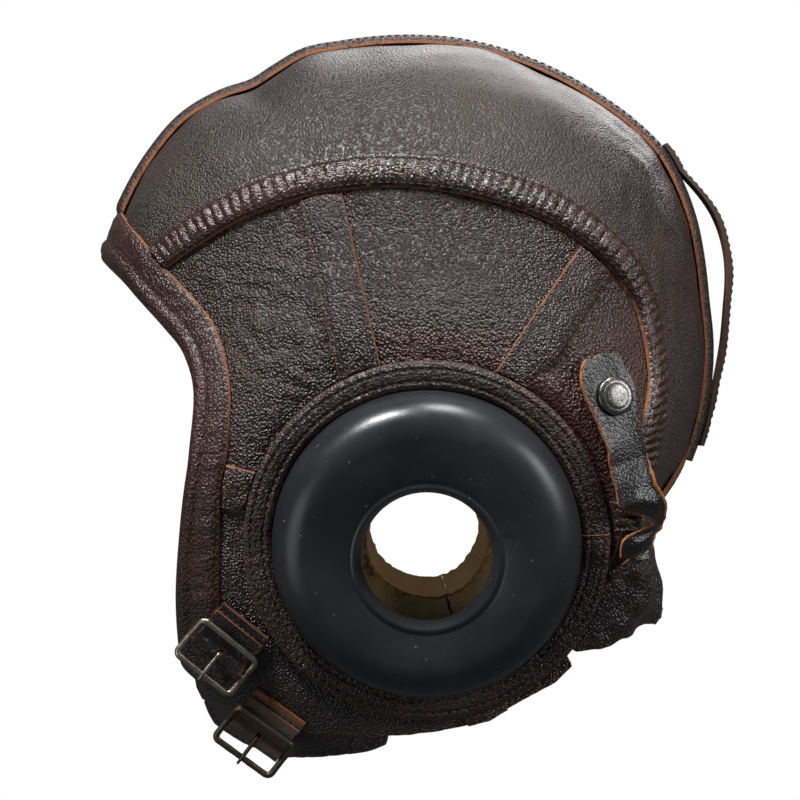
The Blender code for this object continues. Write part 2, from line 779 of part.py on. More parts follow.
def make_side_panels(word, side):
    seam = crown_seam(side, -PANEL_GAP / 2)
    front = panel_front(side, BAND_STEP)[:, ::2]
    at_seam, at_front = crossing(seam, front)
    seam = path_part(seam, 0, at_seam)
    front = path_part(front, at_front, len(front) - 1)
    gap = math.degrees(PANEL_GAP / RING_RADIUS)
    cheek_start, cheek_end = CHEEK_EDGE_SHARES[0][0], CHEEK_EDGE_SHARES[-1][0] - gap
    cheek = ear_path(CHEEK_EDGE_SHARES, cheek_start, cheek_end, BAND_STEP)
    skirt = ear_polar(*np.array(SKIRT_EDGE_SHARES).T)
    rear = between_rays(seam, None, REAR_STRIP_ANGLES, SEAM_STEP)
    top = between_rays(seam, REAR_STRIP_ANGLES, FRONT_STRIP_ANGLES, PANEL_STEP)
    temple = joined(
        between_rays(seam, FRONT_STRIP_ANGLES, None, PANEL_STEP),
        between_rays(front, None, CHEEK_STRIP_ANGLES, PANEL_STEP),
    )
    cheek = joined(between_rays(front, CHEEK_STRIP_ANGLES, None, PANEL_STEP), cheek)
    rear_start = CROWN_SEAM_SHARES[0][0]
    lower_end = LOWER_STRIP_ANGLES[0] + 360
    sector_panel(f"rear_panel_{word}", rear, rear_start, REAR_STRIP_ANGLES[0], side)
    sector_panel(f"top_panel_{word}", top, REAR_STRIP_ANGLES[0], FRONT_STRIP_ANGLES[0], side)
    sector_panel(f"temple_panel_{word}", temple, FRONT_STRIP_ANGLES[0], CHEEK_STRIP_ANGLES[0], side)
    sector_panel(f"cheek_panel_{word}", cheek, CHEEK_STRIP_ANGLES[0], lower_end, side)
    skirt_start, skirt_end = SKIRT_EDGE_SHARES[0][0], SKIRT_EDGE_SHARES[-1][0]
    sector_panel(f"ear_skirt_{word}", skirt, skirt_start, skirt_end, side)


def make_seam_band(word, side):
    """The gathered band over the seam, trimmed to the ring, the nape and the face band."""
    rear = offset_flat_face(side)
    columns = []
    for share in (-1, 0, 1):
        path = crown_seam(side, share * SEAM_BAND_WIDTH / 2)
        start = crossing(path, ray((BAND_END_ANGLE, BAND_END_ANGLE), 0))[0]
        end = crossing(path, rear)[0]
        path = off_ring(path_part(path, start, end), LAYER_GAP)
        columns.append(path)
    count = steps_for(columns[1], PANEL_STEP)
    grid = np.stack([side_points(resampled(path, count), side) for path in columns], axis=1)
    crown = SEAM_BAND_CROWN * np.array((0, 1, 0))
    patch(f"seam_band_{word}", grid, BAND_BASE, BAND_LEATHER + crown, "band_leather")


def offset_flat_face(side):
    """The side-view line just behind the face band, where seam bands and strips stop."""
    return face_curve(1, SEAM_GAP, side, BAND_STEP)[:, ::2]


def seam_strip(name, angle, stop, side):
    """A strip from the leather ring straight out to a side-view path."""
    lines = []
    for share in (-1, 0, 1):
        line = ray(angle, share * SEAM_STRIP_WIDTH / 2)
        end = crossing(line, stop)[0]
        line = path_part(line, 0, end)
        outer = line[-1]
        middle = ring_point(line)
        lines.append(np.array([middle, outer]))
    count = steps_for(lines[1], BAND_STEP)
    grid = np.stack([resampled(line, count) for line in lines], axis=1)
    patch(name, side_points(grid, side), BAND_BASE, BAND_LEATHER, "band_leather")


def ring_point(line):
    """Where a side-view line leaves the leather ring."""
    ring = ear_arc(RING_RADIUS + SEAM_GAP, 0, 360, RING_PATH_SIDES)
    at = crossing(line, ring)[0]
    return line[0] + (line[1] - line[0]) * at


def make_seam_strips(word, side):
    seam = crown_seam(side, -(SEAM_BAND_WIDTH / 2 + STRIP_END_GAP))
    face = offset_flat_face(side)
    cheek = ear_path(CHEEK_EDGE_SHARES, CHEEK_EDGE_SHARES[0][0], CHEEK_EDGE_SHARES[-1][0], BAND_STEP)
    skirt = ear_polar(*np.array(SKIRT_EDGE_SHARES).T)
    seam_strip(f"front_strip_{word}", FRONT_STRIP_ANGLES, seam, side)
    seam_strip(f"rear_strip_{word}", REAR_STRIP_ANGLES, seam, side)
    seam_strip(f"cheek_strip_{word}", CHEEK_STRIP_ANGLES, face, side)
    seam_strip(f"lower_strip_{word}", LOWER_STRIP_ANGLES, joined(cheek, skirt), side)


def make_face_band():
    """The binding round the face opening: two leaves and a fold round the panels' edge."""
    count = FACE_BAND_STEPS
    fold = FACE_FOLD + BAND_LEATHER
    leaf_under = -LAYER_GAP
    middle = (BAND_BASE + leaf_under) / 2
    inner_radius = (BAND_BASE - leaf_under) / 2
    outer_radius = inner_radius + BAND_LEATHER
    halves = []
    for side in (-1, 1):
        front = resampled(face_curve(0, 0, side, BAND_STEP), count)
        rear = resampled(face_curve(1, 0, side, BAND_STEP), count)
        width = np.linalg.norm(front - rear, axis=1)[:, None]
        spots = {
            "rear": rear,
            "fold": front + (rear - front) * fold / width,
            "inner": front + (rear - front) * FACE_INNER_LEAF / width,
        }
        base = {key: on_form(value) for key, value in spots.items()}
        normal = {key: form_normal(value) for key, value in base.items()}
        ahead = front - base["fold"]
        ahead = ahead - normal["fold"] * np.sum(ahead * normal["fold"], axis=1, keepdims=True)
        ahead = unit(ahead)

        def at(key, lift):
            return base[key] + normal[key] * lift

        def bend(turn, radius, reach):
            turn = math.radians(turn)
            centre = at("fold", middle)
            return centre + normal["fold"] * radius * math.cos(turn) + ahead * reach * math.sin(turn)

        section = [
            at("rear", BAND_TOP), at("fold", BAND_TOP),
            *(bend(turn, outer_radius, fold) for turn in FACE_FOLD_TURNS),
            at("fold", leaf_under - BAND_LEATHER), at("inner", leaf_under - BAND_LEATHER),
            at("inner", leaf_under), at("fold", leaf_under), bend(90, inner_radius, FACE_FOLD),
            at("fold", BAND_BASE), at("rear", BAND_BASE),
        ]
        halves.append(np.stack(section, axis=1))
    rings = np.concatenate([halves[0][:0:-1], halves[1]])
    faces = tube_faces(len(rings), rings.shape[1], False)
    new_object("face_band", rings.reshape(-1, 3), faces, "band_leather")


def make_nape_panel():
    """The gathered nape between the two rings, waisted over the elastic and flared at the hem."""
    seams = {side: nape_seam(side, PANEL_GAP) for side in (-1, 1)}
    gap_turn = math.degrees(PANEL_GAP / HEAD_RADIUS)
    peak = crown_points([NAPE_START_ANGLE - gap_turn], 0)
    tucks = {side: ring_tuck(side) for side in (-1, 1)}
    upper = joined(tucks[-1][:1], seams[-1][::-1], peak, seams[1], tucks[1][:1])
    rows = np.array(NAPE_HEM_SHARES)
    hems = {}
    for side in (-1, 1):
        points = polar_points(rows[:, 0], rows[:, 1], side)
        hems[side] = np.vstack([tucks[side][-1:], points])
    hem = joined(hems[-1], hems[1][::-1])
    columns = steps_for(upper, PANEL_STEP)
    rise = max(steps_for(tucks[1], PANEL_STEP), TUCK_STEPS)
    grid = coons(
        resampled(upper, columns), resampled(hem, columns),
        resampled(tucks[-1], rise), resampled(tucks[1], rise),
    )
    patch("nape_panel", grid, 0, LEATHER, "panel_leather")


def ring_tuck(side):
    """The nape panel's edge, tucked under the leather ring."""
    radius = RING_RADIUS + NAPE_RING_SHARE * HEAD_RADIUS
    return side_points(ear_arc(radius, *NAPE_RING_ANGLES, TUCK_STEPS), side)


def make_nape_elastic():
    turn = math.degrees(ELASTIC_WIDTH / 2 / HEAD_RADIUS)
    reach = ELASTIC_REACH_SHARE * HEAD_HALF_WIDTH
    y = np.linspace(-reach, reach, steps_for(np.array([[0, -reach], [0, reach]]), PANEL_STEP) + 1)
    upper = np.vstack([crown_points([ELASTIC_ANGLE + turn], v) for v in y])
    lower = np.vstack([crown_points([ELASTIC_ANGLE - turn], v) for v in y])
    lift = -LAYER_GAP - ELASTIC_THICKNESS
    patch("nape_elastic", ruled(upper, lower, 2), lift, ELASTIC_THICKNESS, "elastic")


def make_chin_flap(word, side):
    """The flap below the cheek panel, tucked under it and sewn."""
    start, end = FLAP_EDGE_SHARES[0][0], FLAP_EDGE_SHARES[-1][0]
    outer = ear_path(FLAP_EDGE_SHARES, start, end, PANEL_STEP)
    count = len(outer) - 1
    inner = ear_polar(np.linspace(start, end, count + 1), np.full(count + 1, FLAP_ROOT_SHARE))
    grid = side_points(ruled(inner, outer, FLAP_COLUMNS), side)
    patch(f"chin_flap_{word}", grid, -FLAP_GAP - LEATHER, LEATHER, "panel_leather")


def make_lining(word, side):
    """The chamois lining of the crown and of the cheek."""
    brow = panel_brow_angle() - math.degrees(FACE_INNER_LEAF / HEAD_RADIUS)
    angles = np.linspace(brow, NAPE_START_ANGLE, PATH_SAMPLES)
    crown = crown_points(angles, side * SEAM_GAP)
    rows = steps_for(crown, LINING_STEP)
    front = face_curve(1, 0, side, BAND_STEP)
    below = CHEEK_STRIP_ANGLES[0] + LINING_SPLIT_TURN
    stop_angle = FLAP_EDGE_SHARES[0][0] - FLAP_LINING_TURN
    split = crossing(front[:, ::2], ray(CHEEK_STRIP_ANGLES, 0))[0]
    start = crossing(front[:, ::2], ray((below, below), 0))[0]
    stop = crossing(front[:, ::2], ray((stop_angle, stop_angle), 0))[0]
    upper_front = path_part(front, 0, split)
    lower_front = path_part(front, start, stop)
    upper_front[0] = crown[0]
    cheek_turn = CHEEK_STRIP_ANGLES[0]
    hole = side_points(ear_arc(EAR_HOLE_RADIUS + CUP_WALL, cheek_turn, LINING_END_ANGLE, rows), side)
    nape = nape_seam(side, -SEAM_BAND_WIDTH / 2)
    corner = crossing(nape[:, ::2], ray((LINING_END_ANGLE, LINING_END_ANGLE), 0))[0]
    nape = np.vstack([path_part(nape, 0, corner), hole[-1:]])
    nape[0] = crown[-1]
    front_edge = np.vstack([upper_front, hole[:1]])
    grid = coons(
        resampled(crown, rows), hole,
        resampled(front_edge, LINING_COLUMNS), resampled(nape, LINING_COLUMNS),
    )
    lift = -LINING_GAP - CHAMOIS
    patch(f"crown_lining_{word}", grid, lift, CHAMOIS, "chamois")
    end = LOWER_STRIP_ANGLES[0] + 360
    lower = ear_arc(EAR_HOLE_RADIUS + CUP_WALL, below, end, CHEEK_LINING_STEPS)
    turns = np.linspace(CHEEK_EDGE_SHARES[0][0], end, CHEEK_LINING_STEPS)
    cheek = ear_polar(turns, np.full(len(turns), CHEEK_LINING_SHARE))
    outline = resampled(joined(lower_front[:, ::2], cheek), CHEEK_LINING_STEPS)
    grid = side_points(ruled(lower, outline, CHEEK_LINING_COLUMNS), side)
    patch(f"cheek_lining_{word}", grid, lift, CHAMOIS, "chamois")


# Ear cups and their rings.
def ear_frame(side):
    """Centre, across, up and axis of the flat seat of one ear cup."""
    lean_cos, lean_sin = math.cos(EAR_LEAN), math.sin(EAR_LEAN)
    centre = np.array((0, side * SEAT_DEPTH, 0))
    across = np.array((1.0, 0, 0))
    up = np.array((0, side * lean_sin, lean_cos))
    axis = np.array((0, side * lean_cos, -lean_sin))
    return centre, across, up, axis


def cup_profile():
    """The cup's wall as (radius, height), from the flange over the shoulder to the lip."""
    flange = CUP_RADIUS + CUP_FLANGE
    base = BAND_BASE
    flange_top = base + CUP_FLANGE_THICKNESS
    top = base + CUP_HEIGHT
    land_top = top - CUP_INNER_FALL
    land = LIP_RADIUS + LIP_LAND
    centre = (CUP_RADIUS - CUP_SHOULDER, top - CUP_SHOULDER)
    shoulder = arc(centre, CUP_SHOULDER, 0, 90, SHOULDER_STEPS)
    inside = arc(centre, CUP_SHOULDER - CUP_WALL, 90, 0, INNER_SHOULDER_STEPS)
    lip_bottom = land_top - LIP_DEPTH
    outline = [(flange, base), (flange, flange_top), (CUP_RADIUS, flange_top)]
    outline += [tuple(point) for point in shoulder]
    outline += [(land, land_top), (LIP_RADIUS, land_top), (LIP_RADIUS, lip_bottom)]
    outline += [(land, lip_bottom), (land, land_top - CUP_WALL)]
    outline += [tuple(point) for point in inside]
    outline += [(CUP_RADIUS - CUP_WALL, base)]
    return outline


def cup_drop(radius):
    """How far the cup's rings sit below its axis: the lip is lower than the shoulder."""
    inner = LIP_RADIUS + LIP_LAND
    outer = CUP_RADIUS - CUP_SHOULDER
    return -LIP_DROP * float(smooth_step((outer - radius) / (outer - inner)))


def ring_profile():
    """The leather ring, which steps over the cup's flange."""
    inner = CUP_RADIUS + SEAM_GAP
    flange = CUP_RADIUS + CUP_FLANGE + SEAM_GAP
    over = BAND_BASE + CUP_FLANGE_THICKNESS + SEAM_GAP
    top = BAND_BASE + RING_HEIGHT
    return [
        (inner, over), (inner, top - RING_ROUND / 2), (inner + RING_ROUND, top),
        (RING_RADIUS - RING_ROUND, top), (RING_RADIUS, top - RING_ROUND),
        (RING_RADIUS, BAND_BASE), (flange, BAND_BASE), (flange, over),
    ]


def make_ear_lining(word, side):
    """The lining across the ear hole under the cup, with a hole for the ear and a seam below."""
    radii = (EAR_LINING_RADIUS, EAR_HOLE_RADIUS + CUP_WALL / 2)
    start = LOWER_STRIP_ANGLES[0]
    end = start + 360 - math.degrees(PANEL_GAP / EAR_LINING_RADIUS)
    arcs = [ear_arc(radius, start, end, LINING_SIDES) for radius in radii]
    grid = side_points(np.stack(arcs, axis=1), side)
    patch(f"ear_lining_{word}", grid, -SEAM_GAP - CHAMOIS, CHAMOIS, "chamois")


def make_ear(word, side):
    frame = ear_frame(side)
    turned(f"ear_cup_{word}", cup_profile(), frame, ROUND_SIDES, "rubber", drop=cup_drop)
    turned(f"ear_ring_{word}", ring_profile(), frame, ROUND_SIDES, "band_leather")


# Goggle tabs with their snaps.
def tab_lift():
    """Height of the tab's underside at the snap: above the stud and the socket."""
    return PANEL_TOP + SNAP_SEAT_GAP + SNAP_STUD_BASE + HARDWARE_GAP + SNAP_SOCKET_HEIGHT + HARDWARE_GAP


def tab_middle_path():
    rows = np.array([TAB_FOOT_SHARES, TAB_SNAP_SHARES, TAB_TIP_SHARES], float)
    at = np.linspace(0, 2, TAB_STEPS + 1)
    flat = ear_polar(smooth_curve(rows[:, 0], range(3), at), smooth_curve(rows[:, 1], range(3), at))
    return flat, at


def snap_frame(side):
    """Seat, toward the foot, across and axis of the snap, square to the form."""
    seat = side_points(ear_polar(*TAB_SNAP_SHARES), side)
    axis = form_normal(seat[None])[0]
    toward = tab_hinge(side)[0] - seat
    toward = unit(toward - axis * toward.dot(axis))
    return seat, toward, np.cross(axis, toward), axis


def tab_hinge(side):
    """Point and axis about which the tab swings out: its sewn foot."""
    foot = side_points(ear_polar(*TAB_FOOT_SHARES), side)
    foot = foot + form_normal(foot[None])[0] * (BAND_TOP + SEAM_BAND_CROWN + SEAM_GAP)
    seat = side_points(ear_polar(*TAB_SNAP_SHARES), side)
    normal = form_normal(seat[None])[0]
    axis = unit(np.cross(foot - seat, normal))
    return foot, axis


def make_goggle_tab(word, side):
    flat, at = tab_middle_path()
    middle = side_points(flat, side)
    along = unit(np.gradient(middle, axis=0))
    aside = unit(np.cross(along, form_normal(middle)))
    lengths = arc_lengths(middle)
    snap_at = np.interp(1, at, lengths)
    half = np.interp(lengths, [0, snap_at / 2], [TAB_FOOT_WIDTH / 2, TAB_WIDTH / 2])
    tip = np.clip((lengths[-1] - lengths) / (TAB_WIDTH / 2), 0, 1)
    half = half * np.sqrt(np.clip(1 - (1 - tip) ** 2, TAB_TIP_END_SHARE, 1))
    grid = np.stack([middle + aside * (half * share)[:, None] for share in (-1, 0, 1)], axis=1)
    foot_lift = BAND_TOP + SEAM_BAND_CROWN + SEAM_GAP
    share = lengths / snap_at
    bulge = TAB_BULGE * np.sin(math.pi * np.clip(share / TAB_BULGE_END_SHARE, 0, 1)) ** 2
    lift = foot_lift + (tab_lift() - foot_lift) * smooth_step(share / TAB_BULGE_END_SHARE) + bulge
    origin = tab_hinge(side)[0]
    centre, toward, across, axis = snap_frame(side)
    reach = TAB_FLAT_END_SHARE - TAB_FLAT_START_SHARE
    flat_share = smooth_step((share - TAB_FLAT_START_SHARE) / reach)[:, None, None]
    faces = []
    for height in (TAB_LEATHER, 0):
        points = lifted(grid, np.broadcast_to(lift[:, None] + height, grid.shape[:-1]))
        plane = centre + axis * (tab_lift() + height)
        above = np.sum((points - plane) * axis, axis=-1, keepdims=True)
        faces.append(points - axis * above * flat_share)
    tab = slab(f"goggle_tab_{word}", faces[0], faces[1], "strap_leather", origin)
    hole = SNAP_BARREL_RADIUS + HARDWARE_GAP
    low = tab_lift() - CUTTER_OVERRUN
    high = tab_lift() + TAB_LEATHER + CUTTER_OVERRUN
    cutter = rod(f"tab_hole_{word}", (centre, toward, across, axis), hole, low, high)
    cut(tab, cutter)


def rod(name, frame, radius, low, high, sides=SNAP_SIDES):
    """A plain round rod along a frame's axis, between two heights."""
    centre, across, up, axis = frame
    turns = np.linspace(0, 2 * math.pi, sides, endpoint=False)
    ends = [
        [centre + (across * math.cos(t) + up * math.sin(t)) * radius + axis * height for t in turns]
        for height in (low, high)
    ]
    return new_object(name, np.array(ends).reshape(-1, 3), tube_faces(2, sides, False), "nickel")


def make_snap(word, side):
    """Cap and barrel above the tab, a socket below it, and a stud on the side panel."""
    frame = snap_frame(side)
    hinge = tab_hinge(side)[0]
    under = tab_lift() - HARDWARE_GAP
    over = tab_lift() + TAB_LEATHER + HARDWARE_GAP
    top = over + SNAP_CAP_HEIGHT
    barrel_end = under - SNAP_SOCKET_HEIGHT / 3
    rim = SNAP_CAP_HEIGHT / 3
    cap = [
        (0, top), (SNAP_CAP_RADIUS / 2, top - rim / 4), (SNAP_CAP_RADIUS - rim, top - rim),
        (SNAP_CAP_RADIUS, over + rim), (SNAP_CAP_RADIUS, over), (SNAP_BARREL_RADIUS, over),
        (SNAP_BARREL_RADIUS, barrel_end), (0, barrel_end),
    ]
    solid_turned(f"snap_cap_{word}", cap, frame, hinge)
    bore = SNAP_STUD_RADIUS + SNAP_CLEARANCE
    low = under - SNAP_SOCKET_HEIGHT
    socket = [
        (bore, low), (bore, under), (SNAP_SOCKET_RADIUS, under),
        (SNAP_SOCKET_RADIUS, low + rim), (SNAP_SOCKET_RADIUS - rim, low),
    ]
    turned(f"snap_socket_{word}", socket, frame, SNAP_SIDES, "nickel", origin=hinge)
    base = PANEL_TOP + SNAP_SEAT_GAP
    stud_top = base + SNAP_STUD_BASE + SNAP_STUD_HEIGHT
    stud_top = min(stud_top, barrel_end - SNAP_CLEARANCE)
    neck = SNAP_STUD_RADIUS * SNAP_NECK_SHARE
    stud = [
        (0, stud_top), (neck, stud_top), (SNAP_STUD_RADIUS, stud_top - rim / 2),
        (neck, base + SNAP_STUD_BASE), (SNAP_STUD_BASE_RADIUS, base + SNAP_STUD_BASE),
        (SNAP_STUD_BASE_RADIUS, base), (0, base),
    ]
    solid_turned(f"snap_stud_{word}", stud, frame, (0, 0, 0))


def solid_turned(name, profile, frame, origin):
    """A solid turned piece whose profile starts and ends on the axis."""
    centre, across, up, axis = frame
    turns = np.linspace(0, 2 * math.pi, SNAP_SIDES, endpoint=False)
    inner = profile[1:-1]
    vertices = [centre + axis * profile[0][1], centre + axis * profile[-1][1]]
    for turn in turns:
        spoke = across * math.cos(turn) + up * math.sin(turn)
        vertices += [centre + spoke * radius + axis * height for radius, height in inner]
    count = len(inner)
    faces = []
    for i in range(SNAP_SIDES):
        a = 2 + i * count
        b = 2 + (i + 1) % SNAP_SIDES * count
        faces.append([0, a, b])
        faces.append([1, b + count - 1, a + count - 1])
        faces += [[a + j, a + j + 1, b + j + 1, b + j] for j in range(count - 1)]
    return new_object(name, np.array(vertices), faces, "nickel", origin)


def make_rear_goggle_loop():
    turn = math.radians(LOOP_TOP_ANGLE - LOOP_END_ANGLE)
    share = np.linspace(0, 1, math.ceil(turn * HEAD_RADIUS / BAND_STEP) + LOOP_SPARE_STEPS)
    angles = LOOP_TOP_ANGLE + (LOOP_END_ANGLE - LOOP_TOP_ANGLE) * share
    widths = np.array((-1, 0, 1))
    grid = np.stack([crown_points(angles, w * LOOP_WIDTH / 2) for w in widths], axis=1)
    free = np.clip((share - LOOP_SEWN_SHARE) / (1 - 2 * LOOP_SEWN_SHARE), 0, 1)
    stand = LOOP_BULGE * np.sin(math.pi * free**LOOP_SKEW_SHARE) ** 2
    lift = BAND_TOP + CROWN_STRIP_BULGE + SEAM_GAP + stand
    patch("rear_goggle_loop", grid, lift[:, None], LOOP_LEATHER, "strap_leather")


# Buckles.
def buckle_frame(foot_shares, slope, under, side=-1):
    """Bar centre, along the tab, along the bar, and up from the leather under the tab's end."""
    foot = side_points(ear_polar(*foot_shares), side)
    back = np.array((math.cos(slope), math.sin(slope))) * TAB_STRAP_LENGTH
    seat = side_points(foot[::2] - back, side)
    normal = form_normal(foot[None])[0]
    along = seat - foot
    along = unit(along - normal * along.dot(normal))
    bar_lift = under + SEAM_GAP + TAB_STRAP_LEATHER + PRONG_CLEARANCE + BAR_RADIUS
    across = np.cross(normal, along)
    return foot + normal * bar_lift + along * TAB_STRAP_LENGTH, along, across, normal


def tab_outline():
    """The folded tab as (along, height) about the bar: upper leaf, fold, lower leaf."""
    radius = BAR_RADIUS + PRONG_CLEARANCE + TAB_STRAP_LEATHER / 2
    pinch = -radius + TAB_STRAP_LEATHER + SEAM_GAP
    fold = arc((0, 0), radius, 90, -90, FOLD_STEPS)
    leaf = TAB_STRAP_LENGTH * TAB_STRAP_LEAF_SHARE
    upper = [(-leaf, pinch), (-TAB_STRAP_PINCH, pinch), (-TAB_STRAP_PINCH / 2, radius / 2)]
    lower = [(-TAB_STRAP_PINCH, -radius), (-TAB_STRAP_LENGTH, -radius)]
    return thick_outline(np.vstack([upper, fold, lower]), TAB_STRAP_LEATHER)


def tab_foot(frame):
    """The corner of the tab's sewn end, which it swings about."""
    centre, along, across, up = frame
    radius = BAR_RADIUS + PRONG_CLEARANCE + TAB_STRAP_LEATHER
    return centre - along * TAB_STRAP_LENGTH - up * radius


def make_buckle(word, foot_shares, slope, under):
    frame = buckle_frame(foot_shares, slope, under)
    centre, along, across, up = frame
    foot = tab_foot(frame)
    tab = extruded(
        f"buckle_tab_{word}", tab_outline(), frame, TAB_STRAP_WIDTH, "strap_leather", foot
    )
    slot_back = PRONG_RADIUS * 2 + BAR_RADIUS + PRONG_CLEARANCE * 2 + HARDWARE_GAP
    slot_front = BAR_RADIUS + PRONG_CLEARANCE + TAB_STRAP_LEATHER + CUTTER_OVERRUN
    depth = BAR_RADIUS + PRONG_CLEARANCE + TAB_STRAP_LEATHER + CUTTER_OVERRUN
    outline = [(-slot_back, -depth), (slot_front, -depth), (slot_front, depth), (-slot_back, depth)]
    slot = extruded(f"tab_slot_{word}", outline, frame, PRONG_SLOT_WIDTH, "strap_leather", (0, 0, 0))
    cut(tab, slot)
    make_buckle_frame(word, frame)
    make_prong(word, frame)


def make_buckle_frame(word, frame):
    """A rounded rectangle of wire, dished so that its long sides clear the tab."""
    centre, along, across, up = frame
    half_long = BUCKLE_WIDTH / 2 - BUCKLE_WIRE
    half_short = BUCKLE_LENGTH / 2 - BUCKLE_WIRE
    corner = BUCKLE_CORNER
    flat = []
    for turn, a, b in ((0, 1, 1), (90, -1, 1), (180, -1, -1), (270, 1, -1)):
        middle = (a * (half_short - corner), b * (half_long - corner))
        flat.append(arc(middle, corner, turn, turn + 90, CORNER_STEPS))
    flat = np.concatenate(flat)
    sides = [np.array((0, half_long)), np.array((0, -half_long))]
    quarter = 2 * (CORNER_STEPS + 1)
    flat = np.vstack([flat[:CORNER_STEPS + 1], sides[:1], flat[CORNER_STEPS + 1:quarter],
                      flat[quarter:quarter + CORNER_STEPS + 1], sides[1:],
                      flat[quarter + CORNER_STEPS + 1:]])
    height = BUCKLE_DISH * np.abs(flat[:, 0]) / half_short
    path = centre + along * flat[:, :1] + across * flat[:, 1:] + up * height[:, None]
    ring = closed_wire(f"buckle_frame_{word}", path, BUCKLE_WIRE, up, centre)
    spin = (centre, along, up, across)
    bar = rod(f"buckle_bar_{word}", spin, BAR_RADIUS, -half_long, half_long, WIRE_SIDES)
    cut(ring, bar, "UNION")


def closed_wire(name, path, radius, up, origin):
    along = unit(np.roll(path, -1, axis=0) - np.roll(path, 1, axis=0))
    aside = unit(np.cross(along, up))
    rise = np.cross(aside, along)
    turns = np.linspace(0, 2 * math.pi, WIRE_SIDES, endpoint=False)
    rings = path[:, None] + radius * (
        np.cos(turns)[None, :, None] * aside[:, None] + np.sin(turns)[None, :, None] * rise[:, None]
    )
    faces = tube_faces(len(path), WIRE_SIDES, True)
    return new_object(name, rings.reshape(-1, 3), faces, "nickel", origin)


def make_prong(word, frame):
    """A wire prong looped round the bar, with its tip on the frame's far side."""
    centre, along, across, up = frame
    loop = BAR_RADIUS + PRONG_CLEARANCE + PRONG_RADIUS
    rest = BUCKLE_DISH + BUCKLE_WIRE + PRONG_RADIUS + HARDWARE_GAP
    reach = BUCKLE_LENGTH / 2 - BUCKLE_WIRE
    flat = list(arc((0, 0), loop, *PRONG_LOOP_ANGLES, PRONG_STEPS))
    flat += [(reach / 2, (loop + rest) / 2), (reach, rest), (reach + PRONG_OVERHANG, rest)]
    flat = np.array(flat)
    path = centre + along * flat[:, :1] + up * flat[:, 1:]
    prong_wire(f"buckle_prong_{word}", path, across, centre)


def prong_wire(name, path, across, origin):
    along = unit(np.gradient(path, axis=0))
    rise = np.cross(across, along)
    turns = np.linspace(0, 2 * math.pi, WIRE_SIDES, endpoint=False)
    radius = np.full(len(path), PRONG_RADIUS)
    rings = path[:, None] + radius[:, None, None] * (
        np.cos(turns)[None, :, None] * across + np.sin(turns)[None, :, None] * rise[:, None]
    )
    faces = tube_faces(len(path), WIRE_SIDES, False)
    return new_object(name, rings.reshape(-1, 3), faces, "nickel", origin)


# Chin strap.
def chin_strap_frame():
    """Root point, along, across and up of the chin strap inside the right chin flap."""
    seat = side_points(ear_polar(*CHIN_STRAP_SHARES), 1)
    normal = form_normal(seat[None])[0]
    across = unit(np.array((-1.0, 0, 0)) - normal * np.array((-1.0, 0, 0)).dot(normal))
    down = np.cross(across, normal)
    down = down * -np.sign(down[2])
    return seat, normal, across, down


def make_chin_strap():
    seat, normal, across, down = chin_strap_frame()
    root_lift = FLAP_GAP + LEATHER + CHIN_STRAP_GAP + CHIN_STRAP_LEATHER / 2
    root = seat - normal * root_lift
    inward = np.array((0, -1.0, 0))
    start = root - down * CHIN_STRAP_OVERLAP
    share = np.linspace(0, 1, CHIN_STRAP_STEPS + 1)
    sag = -CHIN_STRAP_SAG * np.sin(math.pi * share)
    run = root + inward * (CHIN_STRAP_SPAN * share)[:, None] + np.array((0, 0, 1)) * sag[:, None]
    path = np.vstack([start, run])
    along = unit(np.gradient(path, axis=0))
    face = unit(np.cross(along, across))
    half = across * CHIN_STRAP_WIDTH / 2
    thick = face * CHIN_STRAP_LEATHER / 2
    outer = np.stack([path + thick - half, path + thick + half], axis=1)
    inner = np.stack([path - thick - half, path - thick + half], axis=1)
    slab("chin_strap", outer, inner, "strap_leather", root)


def main():
    for old in list(bpy.data.objects):
        bpy.data.objects.remove(old)
    make_crown_strip()
    make_face_band()
    make_nape_panel()
    make_nape_elastic()
    make_rear_goggle_loop()
    for word, side in SIDES.items():
        make_crown_panel(word, side)
        make_side_panels(word, side)
        make_seam_band(word, side)
        make_seam_strips(word, side)
        make_chin_flap(word, side)
        make_lining(word, side)
        make_ear_lining(word, side)
        make_ear(word, side)
        make_goggle_tab(word, side)
        make_snap(word, side)
    upper_seat = BAND_TOP - UPPER_BUCKLE_SINK
    make_buckle("upper", UPPER_BUCKLE_SHARES, UPPER_BUCKLE_SLOPE, upper_seat)
    make_buckle("lower", LOWER_BUCKLE_SHARES, LOWER_BUCKLE_SLOPE, LEATHER)
    make_chin_strap()


main()
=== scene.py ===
"""The dressed flying helmet: leather, rubber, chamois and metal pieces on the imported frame.

Lengths are in metres, +Z up, with the face along -X and the left ear along -Y.
"""

import json
import math

